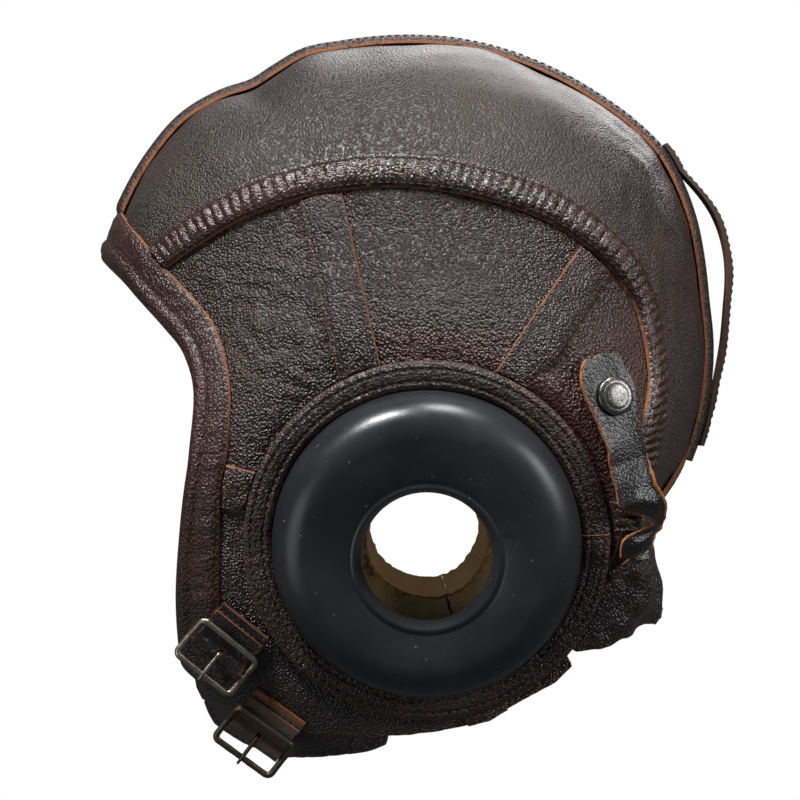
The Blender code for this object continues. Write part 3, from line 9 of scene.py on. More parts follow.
import bmesh
import bpy
import numpy as np
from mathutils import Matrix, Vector

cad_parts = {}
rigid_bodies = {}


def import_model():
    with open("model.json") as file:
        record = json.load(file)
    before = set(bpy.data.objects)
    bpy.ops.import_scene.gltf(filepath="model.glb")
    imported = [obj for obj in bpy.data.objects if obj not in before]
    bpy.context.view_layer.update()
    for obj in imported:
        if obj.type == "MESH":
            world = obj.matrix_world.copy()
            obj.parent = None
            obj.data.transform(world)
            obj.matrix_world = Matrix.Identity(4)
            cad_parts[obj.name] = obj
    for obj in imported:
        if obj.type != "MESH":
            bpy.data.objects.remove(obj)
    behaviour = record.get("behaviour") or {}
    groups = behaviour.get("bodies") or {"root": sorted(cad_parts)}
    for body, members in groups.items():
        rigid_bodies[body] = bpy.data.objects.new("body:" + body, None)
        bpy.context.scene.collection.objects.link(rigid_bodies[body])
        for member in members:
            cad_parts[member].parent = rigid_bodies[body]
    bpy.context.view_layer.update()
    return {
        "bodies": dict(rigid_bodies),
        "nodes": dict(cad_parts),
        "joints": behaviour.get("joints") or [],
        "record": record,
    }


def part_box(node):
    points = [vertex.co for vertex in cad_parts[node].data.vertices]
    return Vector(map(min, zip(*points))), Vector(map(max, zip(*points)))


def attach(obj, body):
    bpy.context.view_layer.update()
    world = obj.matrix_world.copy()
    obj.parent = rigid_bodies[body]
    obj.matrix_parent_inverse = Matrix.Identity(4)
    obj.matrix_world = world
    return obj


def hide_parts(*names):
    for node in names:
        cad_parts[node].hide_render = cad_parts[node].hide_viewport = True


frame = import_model()

# Head form: a side profile in polar shares about the crown centre, and a
# super-elliptic cross section from that profile out to the widest point.
HEAD_RADIUS = 0.100
HEAD_HALF_WIDTH = 0.079
CROWN_RISE = 0.70 * HEAD_RADIUS
HEAD_MIDDLE_RISE = 0.30 * HEAD_RADIUS
PROFILE_SHARES = (
    (-90, 1.60), (-80, 1.50), (-70, 1.40), (-60, 1.32), (-55, 1.28), (-50.3, 1.228),
    (-47.5, 1.137), (-44.8, 1.048), (-40.5, 1.004), (-32.6, 0.983), (-20.5, 0.965),
    (-12.3, 0.953), (-3.4, 0.941), (5.7, 0.930), (13.7, 0.938), (22.7, 0.956), (31, 0.970),
    (36.9, 0.976), (43.4, 0.968), (53, 0.953), (62, 0.947), (75, 0.948), (85, 0.953), (95, 0.960),
    (106.6, 0.978), (114, 0.998), (119.7, 0.993), (125.6, 0.994), (131.8, 1.033), (139, 1.068),
    (147, 1.080), (159, 1.090), (168, 1.100), (178, 1.10), (190, 1.12), (200, 1.17), (210, 1.25),
    (220, 1.37), (230, 1.49), (240, 1.59), (250, 1.64), (260, 1.65),
)
SECTION_POWERS = (
    (-90, 3.0), (-66, 4.2), (-49, 3.3), (-30, 2.6), (0, 2.4), (90, 2.4), (180, 2.4), (240, 2.4),
)

# Ear cup, on a flat seat that leans in at the jaw.
CUP_RADIUS = 0.50 * HEAD_RADIUS
CUP_HEIGHT = 0.0205
CUP_WALL = 0.0030
CUP_SHOULDER = 0.0120
CUP_INNER_FALL = 0.0022
CUP_FLANGE = 0.0050
CUP_FLANGE_THICKNESS = 0.0014
LIP_RADIUS = 0.0217
LIP_LAND = 0.0036
LIP_DEPTH = 0.0060
LIP_DROP = 0.0024
EAR_LEAN = math.radians(10)
SEAT_INSET = 0.0020
SEAT_FALL = 0.44 * HEAD_RADIUS
SEAT_RIM_SHARE = 0.13
EAR_HOLE_RADIUS = 0.92 * CUP_RADIUS
EAR_LINING_RADIUS = 0.0196
RING_WIDTH = 0.0092
RING_HEIGHT = 0.0034
RING_ROUND = 0.0012
SEAT_MARGIN = 0.0015

# Leather, lining and the gaps between layers.
LEATHER = 0.0014
BAND_LEATHER = 0.0013
CHAMOIS = 0.0010
LAYER_GAP = 0.0009
LINING_GAP = 0.0014
STRIP_END_GAP = 0.0008
SEAM_GAP = 0.0003
PANEL_GAP = 0.0011
HARDWARE_GAP = 0.0003

# Crown strip, seam bands and seam strips.
CROWN_STRIP_WIDTH = 0.024
CROWN_STRIP_BULGE = 0.0018
CROWN_STRIP_OVERLAP = 0.005
SEAM_BAND_WIDTH = 0.0118
SEAM_BAND_CROWN = 0.0006
SEAM_STRIP_WIDTH = 0.0140

# The seam between side panels and crown, and the edges of the side panels:
# (angle about the ear, share of the head radius beyond the leather ring).
BAND_END_ANGLE = 3
LINING_END_ANGLE = 16
CROWN_SEAM_SHARES = (
    (-14, -0.018), (-4, 0.022), (8, 0.062), (16, 0.115), (26, 0.210), (34, 0.305), (42, 0.390),
    (48, 0.458), (54, 0.505), (62, 0.540), (70, 0.560), (80, 0.573), (90, 0.592), (100, 0.615),
    (110, 0.635), (120, 0.655), (130, 0.668), (137.5, 0.690), (145, 0.715),
)
CHEEK_EDGE_SHARES = (
    (214.5, 0.330), (223.5, 0.262), (233, 0.190), (246, 0.110), (254.5, 0.080), (265, 0.052),
    (278, 0.036), (289, 0.035),
)
SKIRT_EDGE_SHARES = ((-71, 0.035), (-48, 0.036), (-41, 0.038), (-38.5, -0.030), (-16, -0.030))
FLAP_EDGE_SHARES = (
    (216.8, 0.352), (221, 0.374), (226, 0.362), (230.8, 0.340), (237.7, 0.295), (243.3, 0.246),
    (249, 0.196), (255.3, 0.142), (259.3, 0.100),
)
FLAP_ROOT_SHARE = 0.050
CHEEK_LINING_SHARE = -0.02
FLAP_GAP = 0.0016
FLAP_LINING_TURN = 12
LINING_SPLIT_TURN = 2

# Face band, brow to chin: (front angle, front share, rear angle, rear share) about
# the crown centre, each share one of the profile's radius at that angle.
FACE_BAND_SHARES = (
    (168.6, 1.000, 159.2, 1.000),
    (169.4, 0.978, 160.2, 0.968),
    (171.8, 0.915, 163.6, 0.876),
    (175.0, 0.858, 167.8, 0.787),
    (181.0, 0.772, 174.4, 0.677),
    (188.8, 0.702, 184.5, 0.600),
    (198.5, 0.674, 198.5, 0.570),
    (209.6, 0.700, 211.5, 0.590),
    (215.4, 0.725, 218.6, 0.625),
    (222.2, 0.767, 226.6, 0.670),
    (227.9, 0.818, 232.2, 0.722),
    (233.0, 0.870, 237.0, 0.775),
    (237.3, 0.915, 241.0, 0.825),
)
FACE_FOLD = 0.0012
FACE_INNER_LEAF = 0.0065
FACE_PANEL_INSET = 0.0048
FACE_RING_MARGIN = 0.0040

# Nape panel: the seam from the crown strip to the ring, and the hem.
NAPE_START_ANGLE = -27
NAPE_SEAM_SHARES = ((-33, 0.978), (-39, 0.958), (-43.5, 0.920), (-49.5, 0.850))
NAPE_HEM_SHARES = ((-65.5, 0.864), (-58.5, 0.915), (-53.5, 0.965), (-51, 1.0))
NAPE_RING_ANGLES = (-17, -38)
NAPE_RING_SHARE = -0.018
ELASTIC_ANGLE = -43.5
ELASTIC_WIDTH = 0.010
ELASTIC_THICKNESS = 0.0012
ELASTIC_REACH_SHARE = 0.50

# Seam strips: their angle about the ear at the ring, and at twice its radius.
FRONT_STRIP_ANGLES = (111.5, 107.0)
REAR_STRIP_ANGLES = (61.0, 58.5)
LOWER_STRIP_ANGLES = (-71, -71)
CHEEK_STRIP_ANGLES = (165, 165)

# Goggle tabs behind the ears: angle about the ear and share of the head radius
# beyond the ring at the sewn foot, the snap and the free tip.
TAB_WIDTH = 0.0150
TAB_FOOT_WIDTH = 0.0085
TAB_LEATHER = 0.0016
TAB_FOOT_SHARES = (-5, 0.062)
TAB_SNAP_SHARES = (38.4, 0.138)
TAB_TIP_SHARES = (47.5, 0.205)
TAB_BULGE = 0.0042
TAB_BULGE_END_SHARE = 0.72
TAB_FLAT_START_SHARE = 0.50
TAB_FLAT_END_SHARE = 0.80
SNAP_CAP_RADIUS = 0.0063
SNAP_CAP_HEIGHT = 0.0022
SNAP_BARREL_RADIUS = 0.0017
SNAP_SOCKET_RADIUS = 0.0052
SNAP_SOCKET_HEIGHT = 0.0024
SNAP_STUD_RADIUS = 0.0024
SNAP_NECK_SHARE = 0.75
SNAP_STUD_HEIGHT = 0.0018
SNAP_STUD_BASE_RADIUS = 0.0036
SNAP_STUD_BASE = 0.0006
SNAP_CLEARANCE = 0.0006
SNAP_SEAT_GAP = 0.0006

# Rear goggle loop on the crown strip.
LOOP_WIDTH = 0.0140
LOOP_LEATHER = 0.0016
LOOP_TOP_ANGLE = 37.5
LOOP_END_ANGLE = -23.5
LOOP_SEWN_SHARE = 0.09
LOOP_BULGE = 0.0070
LOOP_SKEW_SHARE = 0.65

# Buckles on the left cheek: the tab's sewn foot as (angle about the ear, share of the
# head radius beyond the ring), and the tab's direction below the horizontal.
BUCKLE_WIDTH = 0.0245
BUCKLE_LENGTH = 0.0170
BUCKLE_CORNER = 0.0014
BUCKLE_WIRE = 0.0011
BUCKLE_DISH = 0.0020
BAR_RADIUS = 0.0009
PRONG_RADIUS = 0.0007
PRONG_OVERHANG = 0.0016
PRONG_CLEARANCE = 0.0002
TAB_STRAP_WIDTH = 0.0190
TAB_STRAP_LENGTH = 0.0150
TAB_STRAP_LEATHER = 0.0012
TAB_STRAP_PINCH = 0.0045
TAB_STRAP_LEAF_SHARE = 0.8
PRONG_SLOT_WIDTH = 0.0030
UPPER_BUCKLE_SHARES = (-156.2, 0.044)
LOWER_BUCKLE_SHARES = (-131.0, 0.122)
UPPER_BUCKLE_SLOPE = math.radians(49)
UPPER_BUCKLE_SINK = 0.0009
LOWER_BUCKLE_SLOPE = math.radians(50)

# Chin strap, sewn inside the right chin flap and lying across under the jaw.
CHIN_STRAP_WIDTH = 0.0180
CHIN_STRAP_LEATHER = 0.0018
CHIN_STRAP_SPAN = 0.066
CHIN_STRAP_SAG = 0.0030
CHIN_STRAP_OVERLAP = 0.0015
CHIN_STRAP_GAP = 0.0020
CHIN_STRAP_SHARES = (-131.5, 0.235)

# Mesh density, as the longest side of a facet.
PANEL_STEP = 0.0030
SEAM_STEP = 0.0025
NAPE_GRADING = 1.35
BAND_STEP = 0.0030
ROUND_SIDES = 28
SHARP_ANGLE = 40
PATH_SAMPLES = 200
STEEP_SHARE = 0.8
RING_PATH_SIDES = 4 * ROUND_SIDES
TUCK_STEPS = 6
TAB_STEPS = 18
CHEEK_LINING_STEPS = 10
PRONG_LOOP_ANGLES = (-60, -280)

SIDES = {"left": -1, "right": 1}
RING_RADIUS = CUP_RADIUS + SEAM_GAP + RING_WIDTH
SEAT_RADIUS = RING_RADIUS + SEAT_MARGIN
PANEL_TOP = LEATHER
BAND_BASE = LEATHER + LAYER_GAP
BAND_TOP = BAND_BASE + BAND_LEATHER
CENTRE = np.array((0, 0, HEAD_MIDDLE_RISE))
PROBE_SHARE = 0.001
SEARCH_STEPS = 36
SEARCH_REACH = 3 * HEAD_RADIUS
RAY_REACH = 2 * HEAD_RADIUS


def smooth_curve(values, knots, at):
    """The values at the parameters `at`, by cubic Hermite spans with central slopes."""
    values = np.asarray(values, float)
    knots = np.asarray(knots, float)
    at = np.asarray(at, float)
    slopes = np.gradient(values, knots, axis=0)
    i = np.clip(np.searchsorted(knots, at) - 1, 0, len(knots) - 2)
    span = knots[i + 1] - knots[i]
    s = (at - knots[i]) / span
    if values.ndim > 1:
        span = span[..., None]
        s = s[..., None]
    return (
        (2 * s**3 - 3 * s**2 + 1) * values[i]
        + (s**3 - 2 * s**2 + s) * span * slopes[i]
        + (-2 * s**3 + 3 * s**2) * values[i + 1]
        + (s**3 - s**2) * span * slopes[i + 1]
    )


def arc_lengths(points):
    steps = np.linalg.norm(np.diff(points, axis=0), axis=1)
    return np.concatenate([[0], np.cumsum(steps)])


def between(points, knots, at):
    """Points read off a polyline at the parameters `at`, its own points being at the knots."""
    return np.stack([np.interp(at, knots, column) for column in points.T], axis=1)


def resampled(points, count):
    """`count` + 1 points at equal steps along a polyline."""
    points = np.asarray(points, float)
    lengths = arc_lengths(points)
    return between(points, lengths, np.linspace(0, lengths[-1], count + 1))


def graded(points, count):
    """`count` + 1 points along a polyline, closer together towards its end."""
    even = resampled(points, count)
    at = count * (1 - (1 - np.linspace(0, 1, count + 1)) ** NAPE_GRADING)
    return between(even, np.arange(count + 1), at)


def steps_for(points, step):
    return max(2, math.ceil(arc_lengths(np.asarray(points, float))[-1] / step))


def joined(*paths):
    """Paths end to end, without repeating the points where they meet."""
    return np.concatenate([paths[0]] + [path[1:] for path in paths[1:]])


def smooth_step(share):
    share = np.clip(share, 0, 1)
    return share * share * (3 - 2 * share)


def unit(vectors):
    return vectors / np.linalg.norm(vectors, axis=-1, keepdims=True)


def crossing(path, other):
    """Where two side-view paths cross, as fractional indices into each."""
    for i in range(len(path) - 1):
        for j in range(len(other) - 1):
            a = path[i + 1] - path[i]
            b = other[j + 1] - other[j]
            cross = a[0] * b[1] - a[1] * b[0]
            if cross == 0:
                continue
            c = other[j] - path[i]
            s = (c[0] * b[1] - c[1] * b[0]) / cross
            t = (c[0] * a[1] - c[1] * a[0]) / cross
            if 0 <= s <= 1 and 0 <= t <= 1:
                return i + s, j + t
    raise ValueError("two outlines of the helmet do not meet")


def path_part(path, start, end):
    """The stretch of a path between two fractional indices."""
    index = np.arange(len(path))
    inner = index[(index > start) & (index < end)]
    return between(path, index, np.concatenate([[start], inner, [end]]))


def periodic(rows):
    angles = [row[0] for row in rows]
    values = [row[1] for row in rows]
    return (
        [values[-1]] + values + [values[0]],
        [angles[-1] - 360] + angles + [angles[0] + 360],
    )


def profile_radius(angle):
    """Radius of the side profile about the crown centre, at angles in degrees."""
    values, knots = periodic(PROFILE_SHARES)
    return HEAD_RADIUS * smooth_curve(values, knots, (angle + 90) % 360 - 90)


def section_power(angle):
    values, knots = periodic(SECTION_POWERS)
    return smooth_curve(values, knots, (angle + 90) % 360 - 90)


def crown_polar(x, z):
    """(angle in degrees, share of the profile's radius) of side-view points."""
    rise = z - CROWN_RISE
    angle = np.degrees(np.arctan2(rise, x))
    return angle, np.hypot(x, rise) / profile_radius(angle)


def plain_depth(x, z):
    angle, share = crown_polar(x, z)
    power = section_power(angle)
    return HEAD_HALF_WIDTH * np.clip(1 - share**power, 0, 1) ** (1 / power)


SEAT_DEPTH = float(plain_depth(np.float64(0), np.float64(0))) - SEAT_INSET


def ear_distance(x, z):
    """Distance from the cup's axis, measured in the plane of the ear seat."""
    return np.hypot(x, z / math.cos(EAR_LEAN))


def half_width(x, z):
    """Half width of the form at side-view points, with the flat ear seat drawn out of it."""
    share = crown_polar(x, z)[1]
    depth = plain_depth(x, z)
    near = smooth_step((SEAT_RADIUS + SEAT_FALL - ear_distance(x, z)) / SEAT_FALL)
    weight = near * smooth_step((1 - share) / SEAT_RIM_SHARE)
    return depth + weight * (SEAT_DEPTH + math.tan(EAR_LEAN) * z - depth)


def inside_form(points):
    x, y, z = np.moveaxis(points, -1, 0)
    return (crown_polar(x, z)[1] < 1) & (np.abs(y) < half_width(x, z))


def on_form(points):
    """The points moved to the form's surface, along lines from the middle of the head."""
    out = unit(np.asarray(points, float) - CENTRE)
    near = np.zeros(out.shape[:-1])
    far = np.full(out.shape[:-1], SEARCH_REACH)
    for _ in range(SEARCH_STEPS):
        middle = (near + far) / 2
        hit = inside_form(CENTRE + out * middle[..., None])
        near = np.where(hit, middle, near)
        far = np.where(hit, far, middle)
    return CENTRE + out * near[..., None]


def form_normal(points):
    """Outward normals of the form at points on its surface."""
    out = unit(points - CENTRE)
    steep = np.abs(out[..., :1]) > STEEP_SHARE
    aside = unit(np.where(steep, np.cross(out, (0, 0, 1)), np.cross(out, (1, 0, 0))))
    across = np.cross(out, aside)
    probe = PROBE_SHARE * HEAD_RADIUS
    first = on_form(points + aside * probe) - on_form(points - aside * probe)
    second = on_form(points + across * probe) - on_form(points - across * probe)
    normal = unit(np.cross(first, second))
    return normal * np.sign(np.sum(normal * out, axis=-1, keepdims=True))


def side_points(flat, side):
    """Side-view points (x, z) taken out to the form on one side."""
    flat = np.asarray(flat, float)
    x, z = np.moveaxis(flat, -1, 0)
    return np.stack([x, side * half_width(x, z), z], axis=-1)


def profile_place(angles, radius):
    """Side-view x and z at angles in degrees and distances from the crown centre."""
    turns = np.radians(angles)
    return radius * np.cos(turns), CROWN_RISE + radius * np.sin(turns)


def crown_points(angles, y):
    """Points of the form at profile angles and at a distance y from the middle plane."""
    angles = np.asarray(angles, float)
    y = np.broadcast_to(y, angles.shape)
    power = section_power(angles)
    share = (1 - (np.abs(y) / HEAD_HALF_WIDTH) ** power) ** (1 / power)
    x, z = profile_place(angles, profile_radius(angles) * share)
    return np.stack([x, y, z], axis=-1)


def polar_points(angles, shares, side):
    """Points of the form at profile angles and shares of the profile's radius."""
    angles = np.asarray(angles, float)
    place = profile_place(angles, profile_radius(angles) * np.asarray(shares, float))
    return side_points(np.stack(place, axis=-1), side)


def ear_polar(angles, shares):
    """Side-view points at angles about the ear, shares of the head radius beyond the ring."""
    angles = np.radians(np.asarray(angles, float))
    radius = RING_RADIUS + np.asarray(shares, float) * HEAD_RADIUS
    return np.stack([radius * np.cos(angles), radius * np.sin(angles)], axis=-1)


def ear_path(rows, start, end, step):
    """A smooth side-view path through (angle, share) rows, between two angles."""
    angles = [row[0] for row in rows]
    shares = [row[1] for row in rows]
    dense = np.linspace(start, end, PATH_SAMPLES)
    path = ear_polar(dense, smooth_curve(shares, angles, dense))
    return resampled(path, steps_for(path, step))


def ear_arc(radius, start, end, count):
    """A side-view arc about the ear, round in the plane of the seat."""
    angles = np.radians(np.linspace(start, end, count + 1))
    return np.stack([radius * np.cos(angles), radius * math.cos(EAR_LEAN) * np.sin(angles)], axis=1)


def off_ring(flat, margin):
    """Side-view points, moved out where they come nearer to the leather ring than margin."""
    distance = ear_distance(flat[..., 0], flat[..., 1])
    grow = np.maximum(1, (RING_RADIUS + margin) / distance)
    return flat * grow[..., None]


def offset_path(flat, distance, side):
    """A side-view path moved sideways over the form, away from the ear where positive."""
    base = side_points(flat, side)
    along = unit(np.gradient(base, axis=0))
    aside = unit(np.cross(along, form_normal(base)))
    outward = np.sign(np.sum(aside[..., ::2] * flat))
    moved = on_form(base + aside * outward * distance)
    return moved[..., ::2]


def face_curve(share, shift, side, step):
    """A path down the face band from the brow to the chin, on the form.

    It starts from the band's front edge where share is 0 and its rear edge where
    share is 1, and lies `shift` further back.
    """
    rows = np.array(FACE_BAND_SHARES)
    front = polar_points(rows[:, 0], rows[:, 1], side)
    rear = polar_points(rows[:, 2], rows[:, 3], side)
    moved = off_ring(rear[:, ::2], FACE_RING_MARGIN)
    rear = np.where(rows[:, 3:] < 1, side_points(moved, side), rear)
    back = unit(rear - front)
    points = front + (rear - front) * share + back * shift
    mirror = points[1] * (1, -1, 1)
    knots = np.arange(-1, len(rows))
    at = np.linspace(0, len(rows) - 1, PATH_SAMPLES)
    dense = smooth_curve(np.vstack([mirror, points]), knots, at)
    return on_form(resampled(dense, steps_for(dense, step)))


def crown_seam(side, offset):
    """The seam between crown and side panels, from the rear of the ring to the brow."""
    first, last = CROWN_SEAM_SHARES[0][0], CROWN_SEAM_SHARES[-1][0]
    path = ear_path(CROWN_SEAM_SHARES, first, last, SEAM_STEP / 2)
    return offset_path(path, offset, side)


def panel_front(side, step):
    """The side-view edge of the panels inside the face band, from brow to chin."""
    return face_curve(0, FACE_PANEL_INSET, side, step)


def nape_seam(side, offset):
    """The seam from the crown strip's edge down to the rear of the ring, on the form."""
    start = crown_points([NAPE_START_ANGLE], side * strip_edge())
    rows = np.array(NAPE_SEAM_SHARES)
    middle = polar_points(rows[:, 0], rows[:, 1], side)
    end = side_points(crown_seam(side, 0)[:1], side)
    points = np.vstack([start, middle, end])
    at = np.linspace(0, len(points) - 1, PATH_SAMPLES)
    dense = smooth_curve(points, np.arange(len(points)), at)
    path = on_form(dense)
    along = unit(np.gradient(path, axis=0))
    down = unit(np.cross(along, form_normal(path)))
    down = down * np.sign(-down[..., 2:])
    return on_form(path + down * offset)


def strip_edge():
    """Half width of the gap that the crown strip covers."""
    return CROWN_STRIP_WIDTH / 2 - CROWN_STRIP_OVERLAP


def coons(first, last, start, end):
    """A grid between four edges: first and last run along it, start and end across."""
    s = np.linspace(0, 1, len(first))[:, None, None]
    t = np.linspace(0, 1, len(start))[None, :, None]
    along = (1 - t) * first[:, None] + t * last[:, None]
    across = (1 - s) * start[None] + s * end[None]
    corners = (
        (1 - s) * (1 - t) * first[0] + s * (1 - t) * first[-1]
        + (1 - s) * t * last[0] + s * t * last[-1]
    )
    return along + across - corners


def ruled(first, last, columns):
    t = np.linspace(0, 1, columns + 1)[None, :, None]
    return (1 - t) * first[:, None] + t * last[:, None]


def tube_faces(rings, sides, closed):
    """Faces of a tube of rings, joined end to end or capped."""
    faces = []
    for i in range(rings if closed else rings - 1):
        a = i * sides
        b = (i + 1) % rings * sides
        for j in range(sides):
            k = (j + 1) % sides
            faces.append([a + j, b + j, b + k, a + k])
    if not closed:
        faces.append(list(range(sides)))
        faces.append([(rings - 1) * sides + j for j in range(sides)])
    return faces


def arc(centre, radius, start, end, count):
    """Points of a flat arc between two angles in degrees."""
    angles = np.radians(np.linspace(start, end, count + 1))
    return np.stack([
        centre[0] + radius * np.cos(angles),
        centre[1] + radius * np.sin(angles),
    ], axis=1)


def panel_brow_angle():
    return float(FACE_BAND_SHARES[0][0]) - math.degrees(FACE_PANEL_INSET / profile_radius(
        np.float64(FACE_BAND_SHARES[0][0])))


def ray(angles, shift):
    """A long side-view line out from the ear hole, moved sideways by shift.

    The angles are those at the leather ring and at twice its radius.
    """
    turns = np.radians(np.asarray(angles, float))
    near, far = RING_RADIUS * np.stack([np.cos(turns), np.sin(turns)], axis=1) * [[1], [2]]
    out = unit(far - near)
    aside = np.array((-out[1], out[0])) * shift
    start = near - out * (RING_RADIUS - EAR_HOLE_RADIUS)
    return np.array([start + aside, start + out * RAY_REACH + aside])


def between_rays(path, start, end, step):
    """The stretch of a path about the ear between two angles, less half a panel gap at each."""
    at_start = crossing(path, ray(start, PANEL_GAP / 2))[0] if start is not None else 0
    at_end = crossing(path, ray(end, -PANEL_GAP / 2))[0] if end is not None else len(path) - 1
    part = path_part(path, at_start, at_end)
    return resampled(part, steps_for(part, step))


def offset_flat_face(side):
    """The side-view line just behind the face band, where seam bands and strips stop."""
    return face_curve(1, SEAM_GAP, side, BAND_STEP)[:, ::2]


def ring_point(line):
    """Where a side-view line leaves the leather ring."""
    ring = ear_arc(RING_RADIUS + SEAM_GAP, 0, 360, RING_PATH_SIDES)
    at = crossing(line, ring)[0]
    return line[0] + (line[1] - line[0]) * at


def ring_tuck(side):
    """The nape panel's edge, tucked under the leather ring."""
    radius = RING_RADIUS + NAPE_RING_SHARE * HEAD_RADIUS
    return side_points(ear_arc(radius, *NAPE_RING_ANGLES, TUCK_STEPS), side)


def ear_frame(side):
    """Centre, across, up and axis of the flat seat of one ear cup."""
    lean_cos, lean_sin = math.cos(EAR_LEAN), math.sin(EAR_LEAN)
    centre = np.array((0, side * SEAT_DEPTH, 0))
    across = np.array((1.0, 0, 0))
    up = np.array((0, side * lean_sin, lean_cos))
    axis = np.array((0, side * lean_cos, -lean_sin))
    return centre, across, up, axis


def cup_drop(radius):
    """How far the cup's rings sit below its axis: the lip is lower than the shoulder."""
    inner = LIP_RADIUS + LIP_LAND
    outer = CUP_RADIUS - CUP_SHOULDER
    return -LIP_DROP * float(smooth_step((outer - radius) / (outer - inner)))


def tab_lift():
    """Height of the tab's underside at the snap: above the stud and the socket."""
    return PANEL_TOP + SNAP_SEAT_GAP + SNAP_STUD_BASE + HARDWARE_GAP + SNAP_SOCKET_HEIGHT + HARDWARE_GAP


def tab_middle_path():
    rows = np.array([TAB_FOOT_SHARES, TAB_SNAP_SHARES, TAB_TIP_SHARES], float)
    at = np.linspace(0, 2, TAB_STEPS + 1)
    flat = ear_polar(smooth_curve(rows[:, 0], range(3), at), smooth_curve(rows[:, 1], range(3), at))
    return flat, at


def snap_frame(side):
    """Seat, toward the foot, across and axis of the snap, square to the form."""
    seat = side_points(ear_polar(*TAB_SNAP_SHARES), side)
    axis = form_normal(seat[None])[0]
    toward = tab_hinge(side)[0] - seat
    toward = unit(toward - axis * toward.dot(axis))
    return seat, toward, np.cross(axis, toward), axis


def tab_hinge(side):
    """Point and axis about which the tab swings out: its sewn foot."""
    foot = side_points(ear_polar(*TAB_FOOT_SHARES), side)
    foot = foot + form_normal(foot[None])[0] * (BAND_TOP + SEAM_BAND_CROWN + SEAM_GAP)
    seat = side_points(ear_polar(*TAB_SNAP_SHARES), side)
    normal = form_normal(seat[None])[0]
    axis = unit(np.cross(foot - seat, normal))
    return foot, axis


def buckle_frame(foot_shares, slope, under, side=-1):
    """Bar centre, along the tab, along the bar, and up from the leather under the tab's end."""
    foot = side_points(ear_polar(*foot_shares), side)
    back = np.array((math.cos(slope), math.sin(slope))) * TAB_STRAP_LENGTH
    seat = side_points(foot[::2] - back, side)
    normal = form_normal(foot[None])[0]
    along = seat - foot
    along = unit(along - normal * along.dot(normal))
    bar_lift = under + SEAM_GAP + TAB_STRAP_LEATHER + PRONG_CLEARANCE + BAR_RADIUS
    across = np.cross(normal, along)
    return foot + normal * bar_lift + along * TAB_STRAP_LENGTH, along, across, normal


def chin_strap_frame():
    """Root point, along, across and up of the chin strap inside the right chin flap."""
    seat = side_points(ear_polar(*CHIN_STRAP_SHARES), 1)
    normal = form_normal(seat[None])[0]
    across = unit(np.array((-1.0, 0, 0)) - normal * np.array((-1.0, 0, 0)).dot(normal))
    down = np.cross(across, normal)
    down = down * -np.sign(down[2])
    return seat, normal, across, down


# Density of the dressed pieces, as the longest side of a facet or a count of columns.
SHEET_STEP = 0.0015
FINE_STEP = 0.0010
CROWN_STRIP_COLUMNS = 23
SEAM_BAND_COLUMNS = 17
SEAM_STRIP_COLUMNS = 19
FLAP_COLUMNS = 24
LINING_COLUMNS = 14
EAR_LINING_COLUMNS = 22
EAR_LINING_TURNS = 240
ELASTIC_COLUMNS = 80
WELT_COLUMNS = 6
FACE_LEAF_COLUMNS = 15
FOLD_TURNS = 12
RING_COLUMNS = 25
RING_TURNS = 300
LATHE_SIDES = 160
DOME_SIDES = 48
SOCKET_SIDES = 64
CUP_SHOULDER_STEPS = 30
CUP_FACE_STEPS = 16
CAP_STEPS = 12
TAB_ROWS = 80
TAB_COLUMNS = 17
TORN_EDGE_SIDES = 12
LOOP_ROWS = 90
LOOP_COLUMNS = 13
BUCKLE_TAB_ROWS = 72
BUCKLE_TAB_COLUMNS = 25
FRAME_WIRE_STEPS = 200
BAR_STEPS = 24
WIRE_SIDES = 14
CHIN_STRAP_ROWS = 60
CHIN_STRAP_COLUMNS = 15
STITCH_SIDES = 6

# How the leather is cut: the outer face drawn in along a cut edge, how far an edge
# drops at its first columns, and the raggedness of edges.
SKIVE = 0.00038
EDGE_DROPS = (1.0, 0.4, 0.1)
ROUGH_EDGE = 0.00010
EDGE_WEAR = 0.8
NEAR_EDGE_WEAR = 0.35

# How far strips and bands lie off the panels, and what is added to their leather.
CROWN_STRIP_LAY = (0.0006, 0.0003)
SEAM_BAND_LAY = (0.0004, 0.0006)
SEAM_STRIP_LAY = (0.0003, -0.0002)

# How it is sewn and gathered.
STITCH_PITCH = 0.0027
STITCH_LENGTH = 0.0019
STITCH_RADIUS = 0.00030
STITCH_INSET = 0.0016
STITCH_SHAPE = (
    (-1.0, 0.35, -0.9), (-0.6, 0.95, 0.1), (0.0, 1.1, 0.35), (0.6, 0.95, 0.1), (1.0, 0.35, -0.9),
)
FIRST_EDGE, LAST_EDGE = 0, 1
BOTH_EDGES = (FIRST_EDGE, LAST_EDGE)
CROWN_STRIP_INSET = 0.0036
SEAM_BAND_ROWS = ((LAST_EDGE, 0.0011, 0.0021), (FIRST_EDGE, 0.0013, 0.0026))
SEAM_STRIP_PITCH = 0.0024
FACE_EDGE_PITCH = 0.0030
NAPE_INSET = 0.0030
FLAP_INSET = 0.0030
RING_STITCH_PITCH = 0.0029
LOOP_INSET = 0.0014
LOOP_END_PITCH = 0.0024
BUCKLE_TAB_INSET = 0.0026
BUCKLE_TAB_PITCH = 0.0022
CHIN_STRAP_INSET = 0.0018
GATHER_PITCH = 0.0034
GATHER_HEIGHT = 0.00075
STRIP_GATHER_PITCH = 0.0040
CROSS_GATHER_PITCH = 0.0030
STRIP_TUCK = 1.6
STRIP_TUCK_DROP = 0.0022
STRIP_TUCK_LENGTH = 0.0042
FACE_END_SHARE = 0.93
FACE_END_EASE = 0.45
FACE_ROLL = 0.0010
FACE_STITCHES = ((0.62, 0.0030), (0.11, 0.0024))
NAPE_LAP = 0.0018
NAPE_PLEAT = 0.0085
NAPE_PLEAT_HEIGHT = 0.0019
NAPE_FINE_PLEAT = 0.0042
